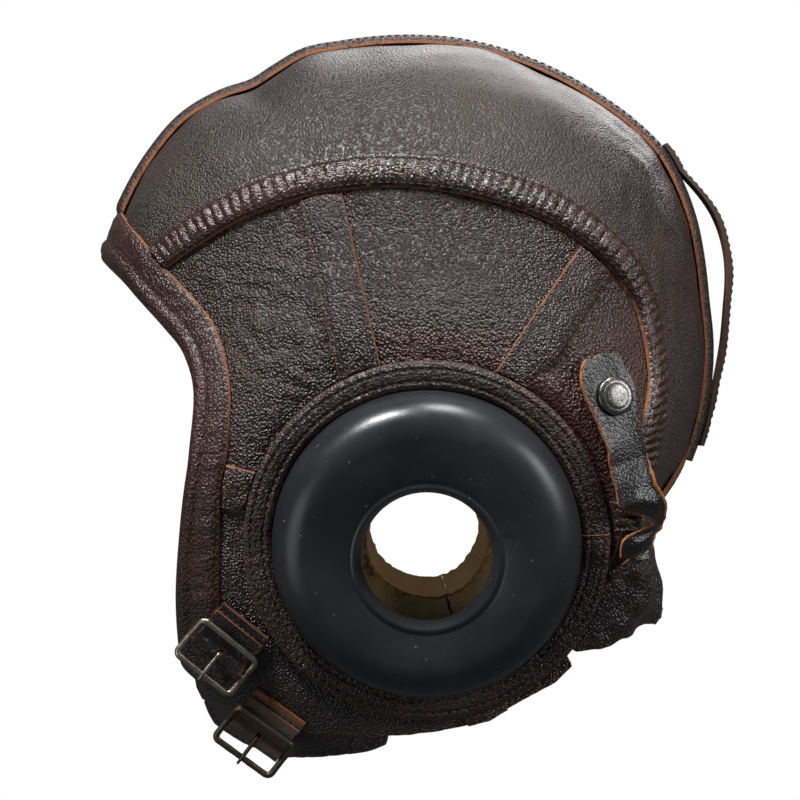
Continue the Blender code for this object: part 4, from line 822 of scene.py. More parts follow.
NAPE_FINE_HEIGHT = 0.0005
NAPE_FLUTE = 0.021
NAPE_FLUTE_HEIGHT = 0.0010
WELT_RISE = 0.0024
WELT_FALL = 0.0016
WELT_END_SHARE = 0.94
TAB_WAIST = 0.75
TAB_CREASES = (0.24, 0.34, 0.45, 0.62, 1.34)
TAB_CREASE_DEPTH = 0.0004
TAB_CURL = 0.0007
TAB_FOLD_SHARE = 0.30
LINING_SLIT_TURN = 0.2

# Where the side is wrinkled and grained, as (x, z, reach along x, reach along z), with
# the pitch of each set of wrinkles, and the padded ridge behind the ring.
TEMPLE_SPOT = (-0.046, 0.074, 0.024, 0.026)
TOP_SPOT = (0.0, 0.090, 0.030, 0.022)
WRINKLE_PITCHES = (0.0062, 0.0105, 0.0034)
WRINKLE_HEIGHT = 0.00034
FINE_WRINKLE_HEIGHT = 0.00006
RIDGE_HEIGHT = 0.0021
RIDGE_TROUGH = 0.0009

# The ring's lap and rows of stitches, the snap's cap, and marks worn into the cup:
# (turn in degrees, radius, size, depth).
RING_GROOVES = (0.26, 0.78)
RING_GROOVE_DEPTH = 0.00050
RING_PUFF = 0.00045
RING_LAP = 0.007
RING_LAP_ANGLE = -4
RING_LAP_RISE = 0.0009
RING_CRIMP = 0.0041
CAP_ROUND = 0.0006
CAP_DENT = 0.00022
CUP_NICKS = ((62, 0.0385, 0.0012, 0.0004), (15, 0.027, 0.0008, 0.0005), (12, 0.0285, 0.0007, 0.0004))

# Studio: the floor, the lights and the camera.
STAGE_DROP = 1.5
STAGE_SIZE = 2.5
LIGHT_TARGET = (0, 0, 0.04)
LIGHTS = (
    {"name": "key", "place": (-0.55, -0.70, 1.25), "size": 0.32, "power": 28},
    {"name": "top", "place": (0.20, -0.40, 1.30), "size": 0.40, "power": 14},
    {"name": "fill", "place": (1.3, -0.7, 0.5), "size": 0.6, "power": 11},
    {"name": "under", "place": (-1.0, -0.8, -0.2), "size": 0.7, "power": 2.6},
    {"name": "rear", "place": (0.3, 1.3, 0.9), "size": 0.9, "power": 14},
)
WORLD_COLOUR = (0.90, 0.95, 1.0)
WORLD_STRENGTH = 0.105
SENSOR_WIDTH = 36
LENS = 169.6
CAMERA_PLACE = (-0.00866, -1.3, 0.0452)


def waves(points, length, seed, count=9, stretch=(1, 1, 1)):
    """Smooth wandering values of about -1 to 1 over points, with the given wavelength."""
    rng = np.random.default_rng(seed)
    total = np.zeros(points.shape[:-1])
    for _ in range(count):
        way = unit(rng.normal(size=3)) / np.array(stretch)
        turn = rng.uniform(0, 2 * math.pi)
        total += np.sin(points @ way * (2 * math.pi / length * rng.uniform(0.7, 1.4)) + turn)
    return total / math.sqrt(count)


def hump(value, centre, width):
    return np.exp(-((value - centre) / width) ** 2)


# Materials, with their colours.
DARK = (0.0190, 0.0105, 0.0098)
BROWN = (0.0330, 0.0165, 0.0142)
REDDISH = (0.045, 0.017, 0.0135)
BAND_DARK = (0.0165, 0.0095, 0.0092)
BLOOM = (0.100, 0.086, 0.080)
DUST = (0.42, 0.38, 0.34)
# Painted shade: the near-black brown laid into the valleys of the leather grain.
PAINTED_VALLEY_SHADE = (0.006, 0.004, 0.0035)
RUBBED_ORANGE = (0.15, 0.050, 0.021)
RUBBED_RED = (0.062, 0.0165, 0.0115)
EDGE_DYE = (0.030, 0.016, 0.011)


class Nodes:
    """A small helper that adds shader nodes and joins them up."""

    def __init__(self, name):
        self.material = bpy.data.materials.new(name)
        self.material.use_nodes = True
        self.tree = self.material.node_tree
        self.shader = self.tree.nodes["Principled BSDF"]
        self.place = self.add("ShaderNodeTexCoord").outputs["Object"]

    def add(self, kind, **settings):
        node = self.tree.nodes.new(kind)
        for key, value in settings.items():
            setattr(node, key, value)
        return node

    def link(self, source, target):
        self.tree.links.new(source, target)
        return source

    def noise(self, scale, detail=4.0, rough=0.6, stretch=None, distortion=0.0):
        node = self.add("ShaderNodeTexNoise")
        node.inputs["Scale"].default_value = scale
        node.inputs["Detail"].default_value = detail
        node.inputs["Roughness"].default_value = rough
        node.inputs["Distortion"].default_value = distortion
        self.link(self.stretched(stretch), node.inputs["Vector"])
        return node.outputs["Fac"]

    def cells(self, scale):
        node = self.add("ShaderNodeTexVoronoi")
        node.inputs["Scale"].default_value = scale
        self.link(self.place, node.inputs["Vector"])
        return node.outputs["Distance"]

    def stretched(self, stretch):
        if stretch is None:
            return self.place
        node = self.add("ShaderNodeMapping")
        node.inputs["Scale"].default_value = stretch
        self.link(self.place, node.inputs["Vector"])
        return node.outputs["Vector"]

    def ramp(self, value, low, high, start=0.0, end=1.0):
        node = self.add("ShaderNodeMapRange", interpolation_type="SMOOTHSTEP")
        self.link(value, node.inputs["Value"])
        for key, number in zip(("From Min", "From Max", "To Min", "To Max"), (low, high, start, end)):
            node.inputs[key].default_value = number
        return node.outputs["Result"]

    def math(self, operation, *values):
        node = self.add("ShaderNodeMath", operation=operation)
        for socket, value in zip(node.inputs, values):
            if isinstance(value, (int, float)):
                socket.default_value = value
            else:
                self.link(value, socket)
        return node.outputs[0]

    def plus(self, first, second):
        return self.math("ADD", first, second)

    def minus(self, first, second):
        return self.math("SUBTRACT", first, second)

    def times(self, first, second):
        return self.math("MULTIPLY", first, second)

    def mix(self, factor, first, second):
        node = self.add("ShaderNodeMix", data_type="RGBA")
        for socket, value in zip((node.inputs[0], node.inputs[6], node.inputs[7]), (factor, first, second)):
            if isinstance(value, tuple):
                socket.default_value = (*value, 1)
            elif isinstance(value, (int, float)):
                socket.default_value = value
            else:
                self.link(value, socket)
        return node.outputs[2]

    def attribute(self, name):
        return self.add("ShaderNodeAttribute", attribute_name=name).outputs["Fac"]

    def finish(self, colour, roughness, height, distance):
        self.link(colour, self.shader.inputs["Base Color"])
        self.link(roughness, self.shader.inputs["Roughness"])
        bump = self.add("ShaderNodeBump")
        bump.inputs["Distance"].default_value = distance
        bump.inputs["Strength"].default_value = 1.0
        self.link(height, bump.inputs["Height"])
        self.link(bump.outputs["Normal"], self.shader.inputs["Normal"])
        return self.material


def leather(name, base, tint, bloom, gloss, grain, pebble, creases, bloom_share, wrinkles=0.5):
    """Worn, dyed leather: mottled colour, grey bloom on the high spots, a pebbled grain, and painted shade
    darkening the grain's valleys.
    """
    n = Nodes(name)
    mottle = n.noise(22, 5, 0.62)
    patches = n.noise(9, 3, 0.5)
    colour = n.mix(n.ramp(mottle, 0.42, 0.66), base, tint)
    grain_cells = n.cells(pebble)
    fine = n.noise(pebble * 2.1, 4, 0.7)
    rise = n.minus(1.0, n.ramp(grain_cells, 0.05, 0.85))
    dusty = n.times(n.ramp(patches, 0.40, 0.68), n.ramp(fine, 0.35, 0.70))
    colour = n.mix(n.times(dusty, bloom_share), colour, bloom)
    specks = n.ramp(n.noise(620, 1, 0.4), 0.765, 0.80)
    colour = n.mix(n.times(specks, 0.35), colour, DUST)
    worn = n.attribute("worn")
    rubbed = n.times(worn, n.ramp(n.noise(330, 5, 0.7), 0.38, 0.62))
    colour = n.mix(rubbed, colour, RUBBED_ORANGE)
    red = n.attribute("red")
    colour = n.mix(n.times(red, n.ramp(mottle, 0.25, 0.6)), colour, RUBBED_RED)
    # Painted shade: the grain's valleys, where the pebbles fall away, are darkened towards a near-black
    # brown.
    painted_valley_shade_mix = n.ramp(rise, 0.0, 0.5, 0.30, 1.0)
    colour = n.mix(painted_valley_shade_mix, PAINTED_VALLEY_SHADE, colour)
    rough = n.plus(n.ramp(mottle, 0.3, 0.7, gloss - 0.05, gloss + 0.09), n.times(dusty, 0.14))
    height = n.times(rise, 0.55 * grain)
    height = n.plus(height, n.times(fine, 0.16 * grain))
    wrinkle = n.noise(150, 5, 0.62, distortion=0.6) if creases is None else creases(n)
    height = n.plus(height, n.times(wrinkle, wrinkles))
    n.shader.inputs["Specular IOR Level"].default_value = 0.55
    return n.finish(colour, rough, height, 0.00052)


def wrinkled(scale, stretch):
    """Fine parallel creases for a leather, long where stretch is small."""
    def creases(n):
        wandering = n.noise(scale, 4, 0.6, stretch, 0.9)
        folds = n.math("ABSOLUTE", n.minus(wandering, 0.5))
        return n.plus(n.ramp(folds, 0.0, 0.09, 0.0, 0.8), n.noise(140, 4, 0.6))
    return creases


def raw_edge(name, light, dark):
    """Cut leather edges: rusty suede with dye left on them in places."""
    n = Nodes(name)
    fibres = n.noise(900, 5, 0.75)
    dye = n.noise(260, 4, 0.65)
    colour = n.mix(n.ramp(fibres, 0.3, 0.7), dark, light)
    colour = n.mix(n.ramp(dye, 0.56, 0.68), colour, EDGE_DYE)
    return n.finish(colour, n.ramp(fibres, 0.2, 0.8, 0.72, 0.95), fibres, 0.0003)


def suede(name, light, dark):
    """Napped leather, such as chamois and the flesh side of the panels."""
    n = Nodes(name)
    nap = n.noise(420, 6, 0.72)
    stain = n.noise(28, 4, 0.6)
    colour = n.mix(n.ramp(stain, 0.35, 0.68), light, dark)
    colour = n.mix(n.ramp(nap, 0.45, 0.75, 0.0, 0.35), colour, dark)
    n.shader.inputs["Sheen Weight"].default_value = 0.25
    n.shader.inputs["Sheen Roughness"].default_value = 0.6
    return n.finish(colour, n.ramp(nap, 0.2, 0.8, 0.82, 0.98), nap, 0.0004)


def moulded_rubber(name):
    """Old satin black rubber with a bluish cast, rubbed patches and a few scratches."""
    n = Nodes(name)
    cloud = n.noise(26, 5, 0.6)
    fine = n.noise(1500, 3, 0.6)
    streak = n.noise(90, 3, 0.5, (1, 1, 0.12), 0.4)
    colour = n.mix(n.ramp(cloud, 0.35, 0.7), (0.0120, 0.0130, 0.0160), (0.0190, 0.0200, 0.0230))
    dust = n.ramp(n.noise(700, 1, 0.4), 0.775, 0.80)
    colour = n.mix(n.times(dust, 0.30), colour, (0.30, 0.30, 0.32))
    hairs = n.math("ABSOLUTE", n.minus(n.noise(55, 2, 0.4, (3, 1, 1), 1.5), 0.5))
    scratches = n.ramp(hairs, 0, 0.004, 1, 0)
    scratches = n.times(scratches, n.ramp(n.noise(16, 2), 0.56, 0.62))
    colour = n.mix(n.times(scratches, 0.35), colour, (0.05, 0.05, 0.055))
    rough = n.plus(n.ramp(cloud, 0.3, 0.7, 0.24, 0.34), n.ramp(streak, 0.4, 0.7, 0.0, 0.06))
    n.shader.inputs["Specular IOR Level"].default_value = 0.42
    height = n.minus(n.plus(n.times(fine, 0.25), n.times(cloud, 1.5)), scratches)
    return n.finish(colour, rough, height, 0.00012)


def worn_metal(name, plate, under, dirt, rough_low, rough_high, wear=0.5):
    """Plated metal, dulled and scratched, with the metal beneath showing in spots."""
    n = Nodes(name)
    cloud = n.noise(240, 5, 0.65)
    spots = n.noise(1100, 4, 0.7)
    colour = n.mix(n.ramp(cloud, wear, wear + 0.16), plate, under)
    colour = n.mix(n.ramp(spots, 0.56, 0.70, 0.0, 0.8), colour, dirt)
    n.shader.inputs["Metallic"].default_value = 1.0
    rough = n.ramp(spots, 0.3, 0.7, rough_low, rough_high)
    return n.finish(colour, rough, n.plus(spots, cloud), 0.00008)


def thread(name, colour):
    n = Nodes(name)
    twist = n.noise(2600, 2, 0.5)
    shade = n.mix(n.ramp(twist, 0.35, 0.65), colour, tuple(c * 2.2 for c in colour))
    return n.finish(shade, n.ramp(twist, 0.3, 0.7, 0.55, 0.8), twist, 0.0002)


def woven(name):
    """Ribbed elastic webbing in faded khaki."""
    n = Nodes(name)
    rib = n.add("ShaderNodeTexWave", bands_direction="Z")
    rib.inputs["Scale"].default_value = 190
    rib.inputs["Distortion"].default_value = 1.2
    n.link(n.place, rib.inputs["Vector"])
    fuzz = n.noise(1300, 3)
    colour = n.mix(n.ramp(rib.outputs["Fac"], 0.2, 0.8), (0.10, 0.085, 0.06), (0.20, 0.17, 0.12))
    return n.finish(colour, n.ramp(fuzz, 0.3, 0.7, 0.8, 0.95), n.plus(rib.outputs["Fac"], fuzz), 0.0003)


def floor_material(name):
    n = Nodes(name)
    soft = n.noise(3, 2)
    colour = n.mix(soft, (0.86, 0.87, 0.88), (0.89, 0.90, 0.91))
    n.shader.inputs["Emission Color"].default_value = (1, 1, 1, 1)
    n.shader.inputs["Emission Strength"].default_value = 0.35
    return n.finish(colour, n.ramp(soft, 0.3, 0.7, 0.8, 0.9), soft, 0.0001)


LOOKS = {
    "panel": leather("panel_leather_worn", DARK, BROWN, BLOOM, 0.29, 1.5, 1150, None, 0.16),
    "temple": leather(
        "panel_leather_creased", DARK, BROWN, BLOOM, 0.27, 1.6, 1100,
        wrinkled(60, (0.7, 0.7, 2.0)), 0.14,
    ),
    "crown": leather("panel_leather_dusty", DARK, BROWN, BLOOM, 0.38, 1.0, 1250, None, 0.34),
    "gloss": leather("panel_leather_glossy", DARK, REDDISH, BLOOM, 0.31, 1.3, 950, None, 0.12),
    "band": leather("band_leather_glossy", BAND_DARK, BROWN, BLOOM, 0.25, 0.7, 1050, None, 0.10, 0.25),
    "face": leather("band_leather_face", DARK, BROWN, BLOOM, 0.30, 1.1, 1050, None, 0.16, 0.45),
    "ring": leather(
        "band_leather_ring", (0.0135, 0.0085, 0.0080), (0.024, 0.0125, 0.0110), BLOOM, 0.36, 1.1, 1050,
        None, 0.12, 0.45,
    ),
    "strap": leather(
        "strap_leather_black", (0.0085, 0.0080, 0.0080), (0.0160, 0.0130, 0.0120), BLOOM, 0.26, 0.35, 1200,
        None, 0.10, 0.35,
    ),
    "edge": raw_edge("leather_raw_edge", (0.26, 0.088, 0.026), (0.10, 0.034, 0.013)),
    "dark_edge": raw_edge("leather_dyed_edge", (0.070, 0.030, 0.018), (0.022, 0.013, 0.010)),
    "bright_edge": raw_edge("leather_torn_edge", (0.47, 0.185, 0.050), (0.24, 0.085, 0.026)),
    "flesh": suede("leather_flesh_side", (0.115, 0.072, 0.046), (0.070, 0.042, 0.028)),
    "brown_suede": suede("strap_flesh_side", (0.066, 0.034, 0.017), (0.030, 0.017, 0.010)),
    "chamois": suede("chamois_lining", (0.52, 0.34, 0.145), (0.38, 0.22, 0.080)),
    "rubber": moulded_rubber("rubber_cup"),
    "nickel": worn_metal(
        "buckle_nickel", (0.30, 0.275, 0.225), (0.26, 0.185, 0.095), (0.045, 0.036, 0.026), 0.26, 0.46,
    ),
    "steel": worn_metal(
        "snap_oxidised", (0.17, 0.165, 0.16), (0.30, 0.27, 0.21), (0.05, 0.045, 0.04), 0.20, 0.40, 0.55,
    ),
    # Painted shade: a darker copy of the buckle nickel, for the lower buckle that faces down under the jaw.
    "dim": worn_metal(
        "buckle_nickel_painted_shade", (0.12, 0.105, 0.085), (0.17, 0.115, 0.06), (0.03, 0.022, 0.016), 0.32, 0.52,
    ),
    "thread": thread("stitching_dark", (0.010, 0.0075, 0.0065)),
    "pale_thread": thread("stitching_tan", (0.050, 0.028, 0.015)),
    "elastic": woven("elastic_web"),
    "floor": floor_material("studio_floor"),
}
FLESH = "flesh"


# Mesh helpers.
def make(name, vertices, faces, looks, slots=None, body="helmet", slot=None, nodes=(), worn=None, red=None):
    """A mesh piece that rides on a body, with its materials and its painted attributes."""
    mesh = bpy.data.meshes.new(name)
    mesh.from_pydata(np.asarray(vertices, float).tolist(), [], faces)
    for look in looks:
        mesh.materials.append(LOOKS[look])
    if slots is not None:
        mesh.polygons.foreach_set("material_index", slots)
    for key, values in (("worn", worn), ("red", red)):
        layer = mesh.attributes.new(key, "FLOAT", "POINT")
        filled = np.zeros(len(vertices)) if values is None else np.asarray(values, float)
        layer.data.foreach_set("value", filled)
    work = bmesh.new()
    work.from_mesh(mesh)
    bmesh.ops.recalc_face_normals(work, faces=work.faces)
    work.to_mesh(mesh)
    work.free()
    mesh.shade_smooth()
    mesh.set_sharp_from_angle(angle=math.radians(SHARP_ANGLE))
    made = bpy.data.objects.new(name, mesh)
    bpy.context.scene.collection.objects.link(made)
    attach(made, body)
    if nodes:
        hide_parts(*nodes)
    return made


def grid_faces(rows, columns):
    """Faces of both sides of a sheet, then its rim, which runs round the four edges."""
    index = np.arange(rows * columns).reshape(rows, columns)
    a, b, c, d = index[:-1, :-1], index[1:, :-1], index[1:, 1:], index[:-1, 1:]
    top = np.stack([a, b, c, d], axis=-1).reshape(-1, 4)
    below = top[:, ::-1] + rows * columns
    sides = (index[0, ::-1], index[-1], index[:, 0], index[::-1, -1])
    under = rows * columns
    rims = [np.stack([line[:-1], line[1:], line[1:] + under, line[:-1] + under], axis=1) for line in sides]
    return top, below, rims


def skived(top):
    """The outer face drawn in a little at its edges, so that the cut edge shows."""
    top = top.copy()
    for rows in (top, top.swapaxes(0, 1)):
        for edge, inner in ((0, 1), (-1, -2)):
            way = rows[inner] - rows[edge]
            length = np.linalg.norm(way, axis=-1, keepdims=True)
            rows[edge] = rows[edge] + way / np.maximum(length, 1e-9) * np.minimum(SKIVE, length * 0.6)
    return top


def sheet(
    name, grid, lift, thickness, looks, detail=None, edges="rrrr", rough=ROUGH_EDGE, drop=0.0, **options
):
    """A leather sheet on the form; detail is its relief. edges: r raw, b torn, d dyed."""
    base = on_form(grid)
    normal = form_normal(base)
    lift = np.broadcast_to(lift, base.shape[:-1])[..., None]
    thick = np.broadcast_to(thickness, base.shape[:-1])[..., None]
    shape = np.zeros(base.shape[:-1]) if detail is None else detail(base) if callable(detail) else detail
    shape = np.array(np.broadcast_to(shape, base.shape[:-1]))
    first, last = drop if isinstance(drop, tuple) else (drop, drop)
    for k, share in enumerate(EDGE_DROPS):
        shape[:, k] -= first * share
        shape[:, -1 - k] -= last * share
    top = base + normal * (lift + thick + shape[..., None])
    below = base + normal * lift
    return closed_sheet(name, top, below, looks, edges, rough, **options)


def closed_sheet(name, top, below, looks, edges, rough=ROUGH_EDGE, worn=None, red=None, **options):
    """A sheet from its two faces, closed by cut edges; returns the top as it was made."""
    top = skived(top)
    rows, columns = top.shape[:2]
    flat_top = top.reshape(-1, 3)
    frayed = np.zeros((rows, columns), bool)
    frayed[[0, -1]] = frayed[:, [0, -1]] = True
    flat_top = flat_top + (waves(flat_top, 0.0035, 5) * frayed.reshape(-1) * rough)[:, None]
    faces, under, rims = grid_faces(rows, columns)
    slots = [0] * len(faces) + [1] * len(under)
    names = list(looks)
    kinds = {"r": "edge", "b": "bright_edge", "d": "dark_edge"}
    for rim, kind in zip(rims, edges):
        if kinds[kind] not in names:
            names.append(kinds[kind])
        slots += [names.index(kinds[kind])] * len(rim)
    everything = np.concatenate([faces, under, *rims]).tolist()
    if worn is None:
        worn = np.zeros((rows, columns))
    near = frayed.astype(float)
    near[1:-1, 1:-1] = np.maximum.reduce([
        frayed[:-2, 1:-1], frayed[2:, 1:-1], frayed[1:-1, :-2], frayed[1:-1, 2:],
    ]) * NEAR_EDGE_WEAR
    painted = np.maximum(worn, near * EDGE_WEAR).reshape(-1)
    blank = np.zeros(rows * columns)
    make(
        name, np.concatenate([flat_top, below.reshape(-1, 3)]), everything, names, slots,
        worn=np.concatenate([painted, blank]),
        red=None if red is None else np.concatenate([red.reshape(-1), blank]), **options,
    )
    return top


# Stitching: short sunken threads, gathered into one piece for each body.
stitches = {}


def stitch(path, up, body="helmet", colour="thread", pitch=STITCH_PITCH, start=0.0):
    """A row of stitches along a path, with `up` the surface's normal there."""
    lengths = arc_lengths(path)
    if lengths[-1] < pitch:
        return
    at = np.arange(pitch / 2 + start, lengths[-1] - pitch / 2, pitch)
    rows = stitches.setdefault((body, colour), [])
    middle, ahead, behind = [
        between(path, lengths, at + shift * STITCH_LENGTH / 2) for shift in (0, 1, -1)
    ]
    rows.append((middle, ahead, behind, unit(between(up, lengths, at))))


def make_stitches():
    """All the threads, as short swollen bars sunk at both ends."""
    sides = STITCH_SIDES
    turns = np.linspace(0, 2 * math.pi, sides, endpoint=False)
    for (body, colour), rows in stitches.items():
        middle, ahead, behind, up = [np.concatenate(parts) for parts in zip(*rows)]
        along = (ahead - behind) / 2
        aside = unit(np.cross(along, up))
        rings = []
        for share, radius, rise in STITCH_SHAPE:
            centre = middle + along * share + up * rise * STITCH_RADIUS * 0.6
            spokes = [
                centre + (aside * math.cos(t) + up * math.sin(t) * 0.8) * radius * STITCH_RADIUS
                for t in turns
            ]
            rings.append(np.stack(spokes, axis=1))
        vertices = np.stack(rings, axis=1)
        count = len(STITCH_SHAPE) * sides
        pattern = np.array([
            [a + j, a + sides + j, a + sides + (j + 1) % sides, a + (j + 1) % sides]
            for a in range(0, count - sides, sides) for j in range(sides)
        ])
        caps = [list(range(sides)), list(range(count - sides, count))]
        faces = []
        for k in range(len(middle)):
            faces += (pattern + k * count).tolist()
            faces += [[v + k * count for v in cap] for cap in caps]
        make(f"{colour}_{body}", vertices.reshape(-1, 3), faces, [colour], body=body, slot="strap_leather")


def edge_rows(top, edge, distance):
    """A line on a sheet's top at a distance in from its first or last column."""
    rows = top if edge == FIRST_EDGE else top[:, ::-1]
    return np.array([between(row, arc_lengths(row), [distance])[0] for row in rows])


def sew(top, edge, distance=STITCH_INSET, trim=(2, 2), **options):
    """A row of stitches beside one edge of a sheet."""
    line = edge_rows(top, edge, distance)
    up = form_normal(on_form(line))
    stop = len(line) - trim[1]
    stitch(line[trim[0]:stop], up[trim[0]:stop], **options)


# Leather of the crown.
def relief(points, long_wave, short_wave, seed):
    return waves(points, 0.042, seed) * long_wave + waves(points, 0.014, seed + 1) * short_wave


def crown_relief(points):
    """Soft folds behind the brow and up the back of the crown."""
    x = points[..., 0]
    front = smooth_step((-0.045 - x) / 0.03)
    back = smooth_step((x - 0.045) / 0.025)
    folds = waves(points, 0.017, 21, stretch=(0.8, 1.6, 3.0)) * front * 0.00042
    tucks = waves(points, 0.0085, 22, stretch=(0.7, 0.9, 5.0)) * back * 0.00022
    return relief(points, 0.00042, 0.00010, 23) + folds + tucks


def puckers(run, seed, pitch=GATHER_PITCH):
    """Gathers along a run: 0 in each crease, 1 on the puff between two creases."""
    rng = np.random.default_rng(seed)
    wander = sum(
        np.sin(run / length + rng.uniform(0, 6)) * share
        for length, share in ((0.004, 0.22), (0.0093, 0.5), (0.021, 0.8))
    )
    return np.abs(np.sin(math.pi * run / pitch + wander)) ** 0.55


def make_crown_strip():
    start = FACE_BAND_SHARES[0][2] + STRIP_TUCK
    turn = math.radians(start - NAPE_START_ANGLE)
    angles = np.linspace(start, NAPE_START_ANGLE, math.ceil(turn * HEAD_RADIUS / SHEET_STEP) + 1)
    widths = np.linspace(-1, 1, CROWN_STRIP_COLUMNS)
    grid = np.stack([crown_points(angles, w * CROWN_STRIP_WIDTH / 2) for w in widths], axis=1)
    run = np.radians(start - angles)[:, None] * HEAD_RADIUS
    edge = smooth_step((np.abs(widths) - 0.55) / 0.35)[None, :]
    shape = CROWN_STRIP_BULGE * (1 - np.abs(widths[None, :]) ** 3)
    shape = shape - 0.00030 * edge * (1 - puckers(run, 3, STRIP_GATHER_PITCH))
    shape = shape - STRIP_TUCK_DROP * (1 - smooth_step(run / STRIP_TUCK_LENGTH))
    lift, thickness = LEATHER + CROWN_STRIP_LAY[0], BAND_LEATHER + CROWN_STRIP_LAY[1]
    top = sheet(
        "crown_strip_leather", grid, lift, thickness, ("crown", FLESH),
        detail=shape, nodes=("crown_strip",), slot="panel_leather", edges="ddrr", drop=0.0008,
    )
    for edge in BOTH_EDGES:
        sew(top, edge, CROWN_STRIP_INSET)


def crown_panel_grid(side):
    front = panel_front(side, PANEL_STEP)
    seam = crown_seam(side, PANEL_GAP / 2)[::-1]
    at_front, at_seam = crossing(front[:, ::2], seam)
    start_edge = path_part(front, 0, at_front)
    seam_edge = side_points(path_part(seam, at_seam, len(seam) - 1), side)
    nape_edge = nape_seam(side, -PANEL_GAP / 2)
    nape_edge[-1] = seam_edge[-1]
    angles = np.linspace(panel_brow_angle(), NAPE_START_ANGLE, PATH_SAMPLES * 2)
    strip = crown_points(angles, side * strip_edge())
    start_edge[0] = strip[0]
    nape_edge[0] = strip[-1]
    rows = steps_for(strip, SHEET_STEP)
    columns = steps_for(nape_edge, SHEET_STEP)
    return coons(
        graded(strip, rows), graded(seam_edge, rows),
        resampled(start_edge, columns), resampled(nape_edge, columns),
    )


def make_crown_panel(word, side):
    grid = crown_panel_grid(side)
    red = smooth_step((on_form(grid)[..., 0] - 0.02) / 0.08) * 0.35
    sheet(
        f"crown_panel_{word}_leather", grid, 0, LEATHER, ("crown", FLESH), detail=crown_relief, red=red,
        nodes=(f"crown_panel_{word}",), slot="panel_leather", edges="dddd",
    )


# Side panels.
def sector_grid(outline, start, end, side):
    gap = math.degrees(PANEL_GAP / 2 / EAR_HOLE_RADIUS)
    rows = steps_for(outline, SHEET_STEP)
    outline = resampled(outline, rows)
    inner = ear_arc(EAR_HOLE_RADIUS, start + gap, end - gap, rows)
    reach = np.array([inner[rows // 2], outline[rows // 2]])
    columns = steps_for(reach, SHEET_STEP)
    first = resampled(np.array([inner[0], outline[0]]), columns)
    last = resampled(np.array([inner[-1], outline[-1]]), columns)
    return side_points(coons(inner, outline, first, last), side)


def about_ring(points):
    """x and z of points, and their distance beyond the leather ring and angle about the ear."""
    x, z = points[..., 0], points[..., 2]
    return x, z, ear_distance(x, z) - RING_RADIUS, np.degrees(np.arctan2(z, x))


def side_relief(points):
    """Temple wrinkles, the padded ridge behind the ring, and gentle waves elsewhere."""
    x, z, distance, turn = about_ring(points)
    temple, top = [
        np.exp(-((x - at_x) / reach_x) ** 2 - ((z - at_z) / reach_z) ** 2)
        for at_x, at_z, reach_x, reach_z in (TEMPLE_SPOT, TOP_SPOT)
    ]
    drift = waves(points, 0.024, 31) * 0.0030
    lines = np.sin(2 * math.pi * (z - 0.22 * x + drift) / WRINKLE_PITCHES[0])
    lines = lines + 1.3 * np.sin(2 * math.pi * (z + 0.30 * x + 1.6 * drift) / WRINKLE_PITCHES[1])
    fine = np.sin(2 * math.pi * (z - 0.35 * x + 0.7 * drift) / WRINKLE_PITCHES[2])
    grain_rows = waves(points, 0.0042, 33, stretch=(3.5, 1, 0.8))
    ridge = smooth_step((turn + 34) / 14) * smooth_step((72 - turn) / 14)
    shape = temple * (lines * WRINKLE_HEIGHT + fine * FINE_WRINKLE_HEIGHT)
    shape += top * grain_rows * 0.00012
    padding = RIDGE_HEIGHT * hump(distance, 0.0040, 0.0040) - RIDGE_TROUGH * hump(distance, 0.0135, 0.0040)
    shape += ridge * padding
    near = smooth_step(1 - np.abs(distance) / 0.004) * (1 - ridge)
    return shape + relief(points, 0.00030, 0.00010, 34) * (1 - near) - 0.0002 * near


def side_red(points):
    """Where the side panels are rubbed to a reddish brown: behind the ring and above it."""
    distance, turn = about_ring(points)[2:]
    behind = smooth_step((turn + 45) / 20) * smooth_step((68 - turn) / 12)
    above = smooth_step((turn - 60) / 10) * smooth_step((112 - turn) / 12)
    behind = behind * (0.55 + 0.45 * hump(distance, 0.003, 0.008))
    return np.clip(behind + above * hump(distance, 0.002, 0.009) * 0.8, 0, 1)


def panel_sheet(name, grid, look, edges="dddd"):
    base = on_form(grid)
    return sheet(
        f"{name}_leather", grid, 0, LEATHER, (look, FLESH), detail=side_relief, red=side_red(base),
        nodes=(name,), slot="panel_leather", edges=edges,
    )


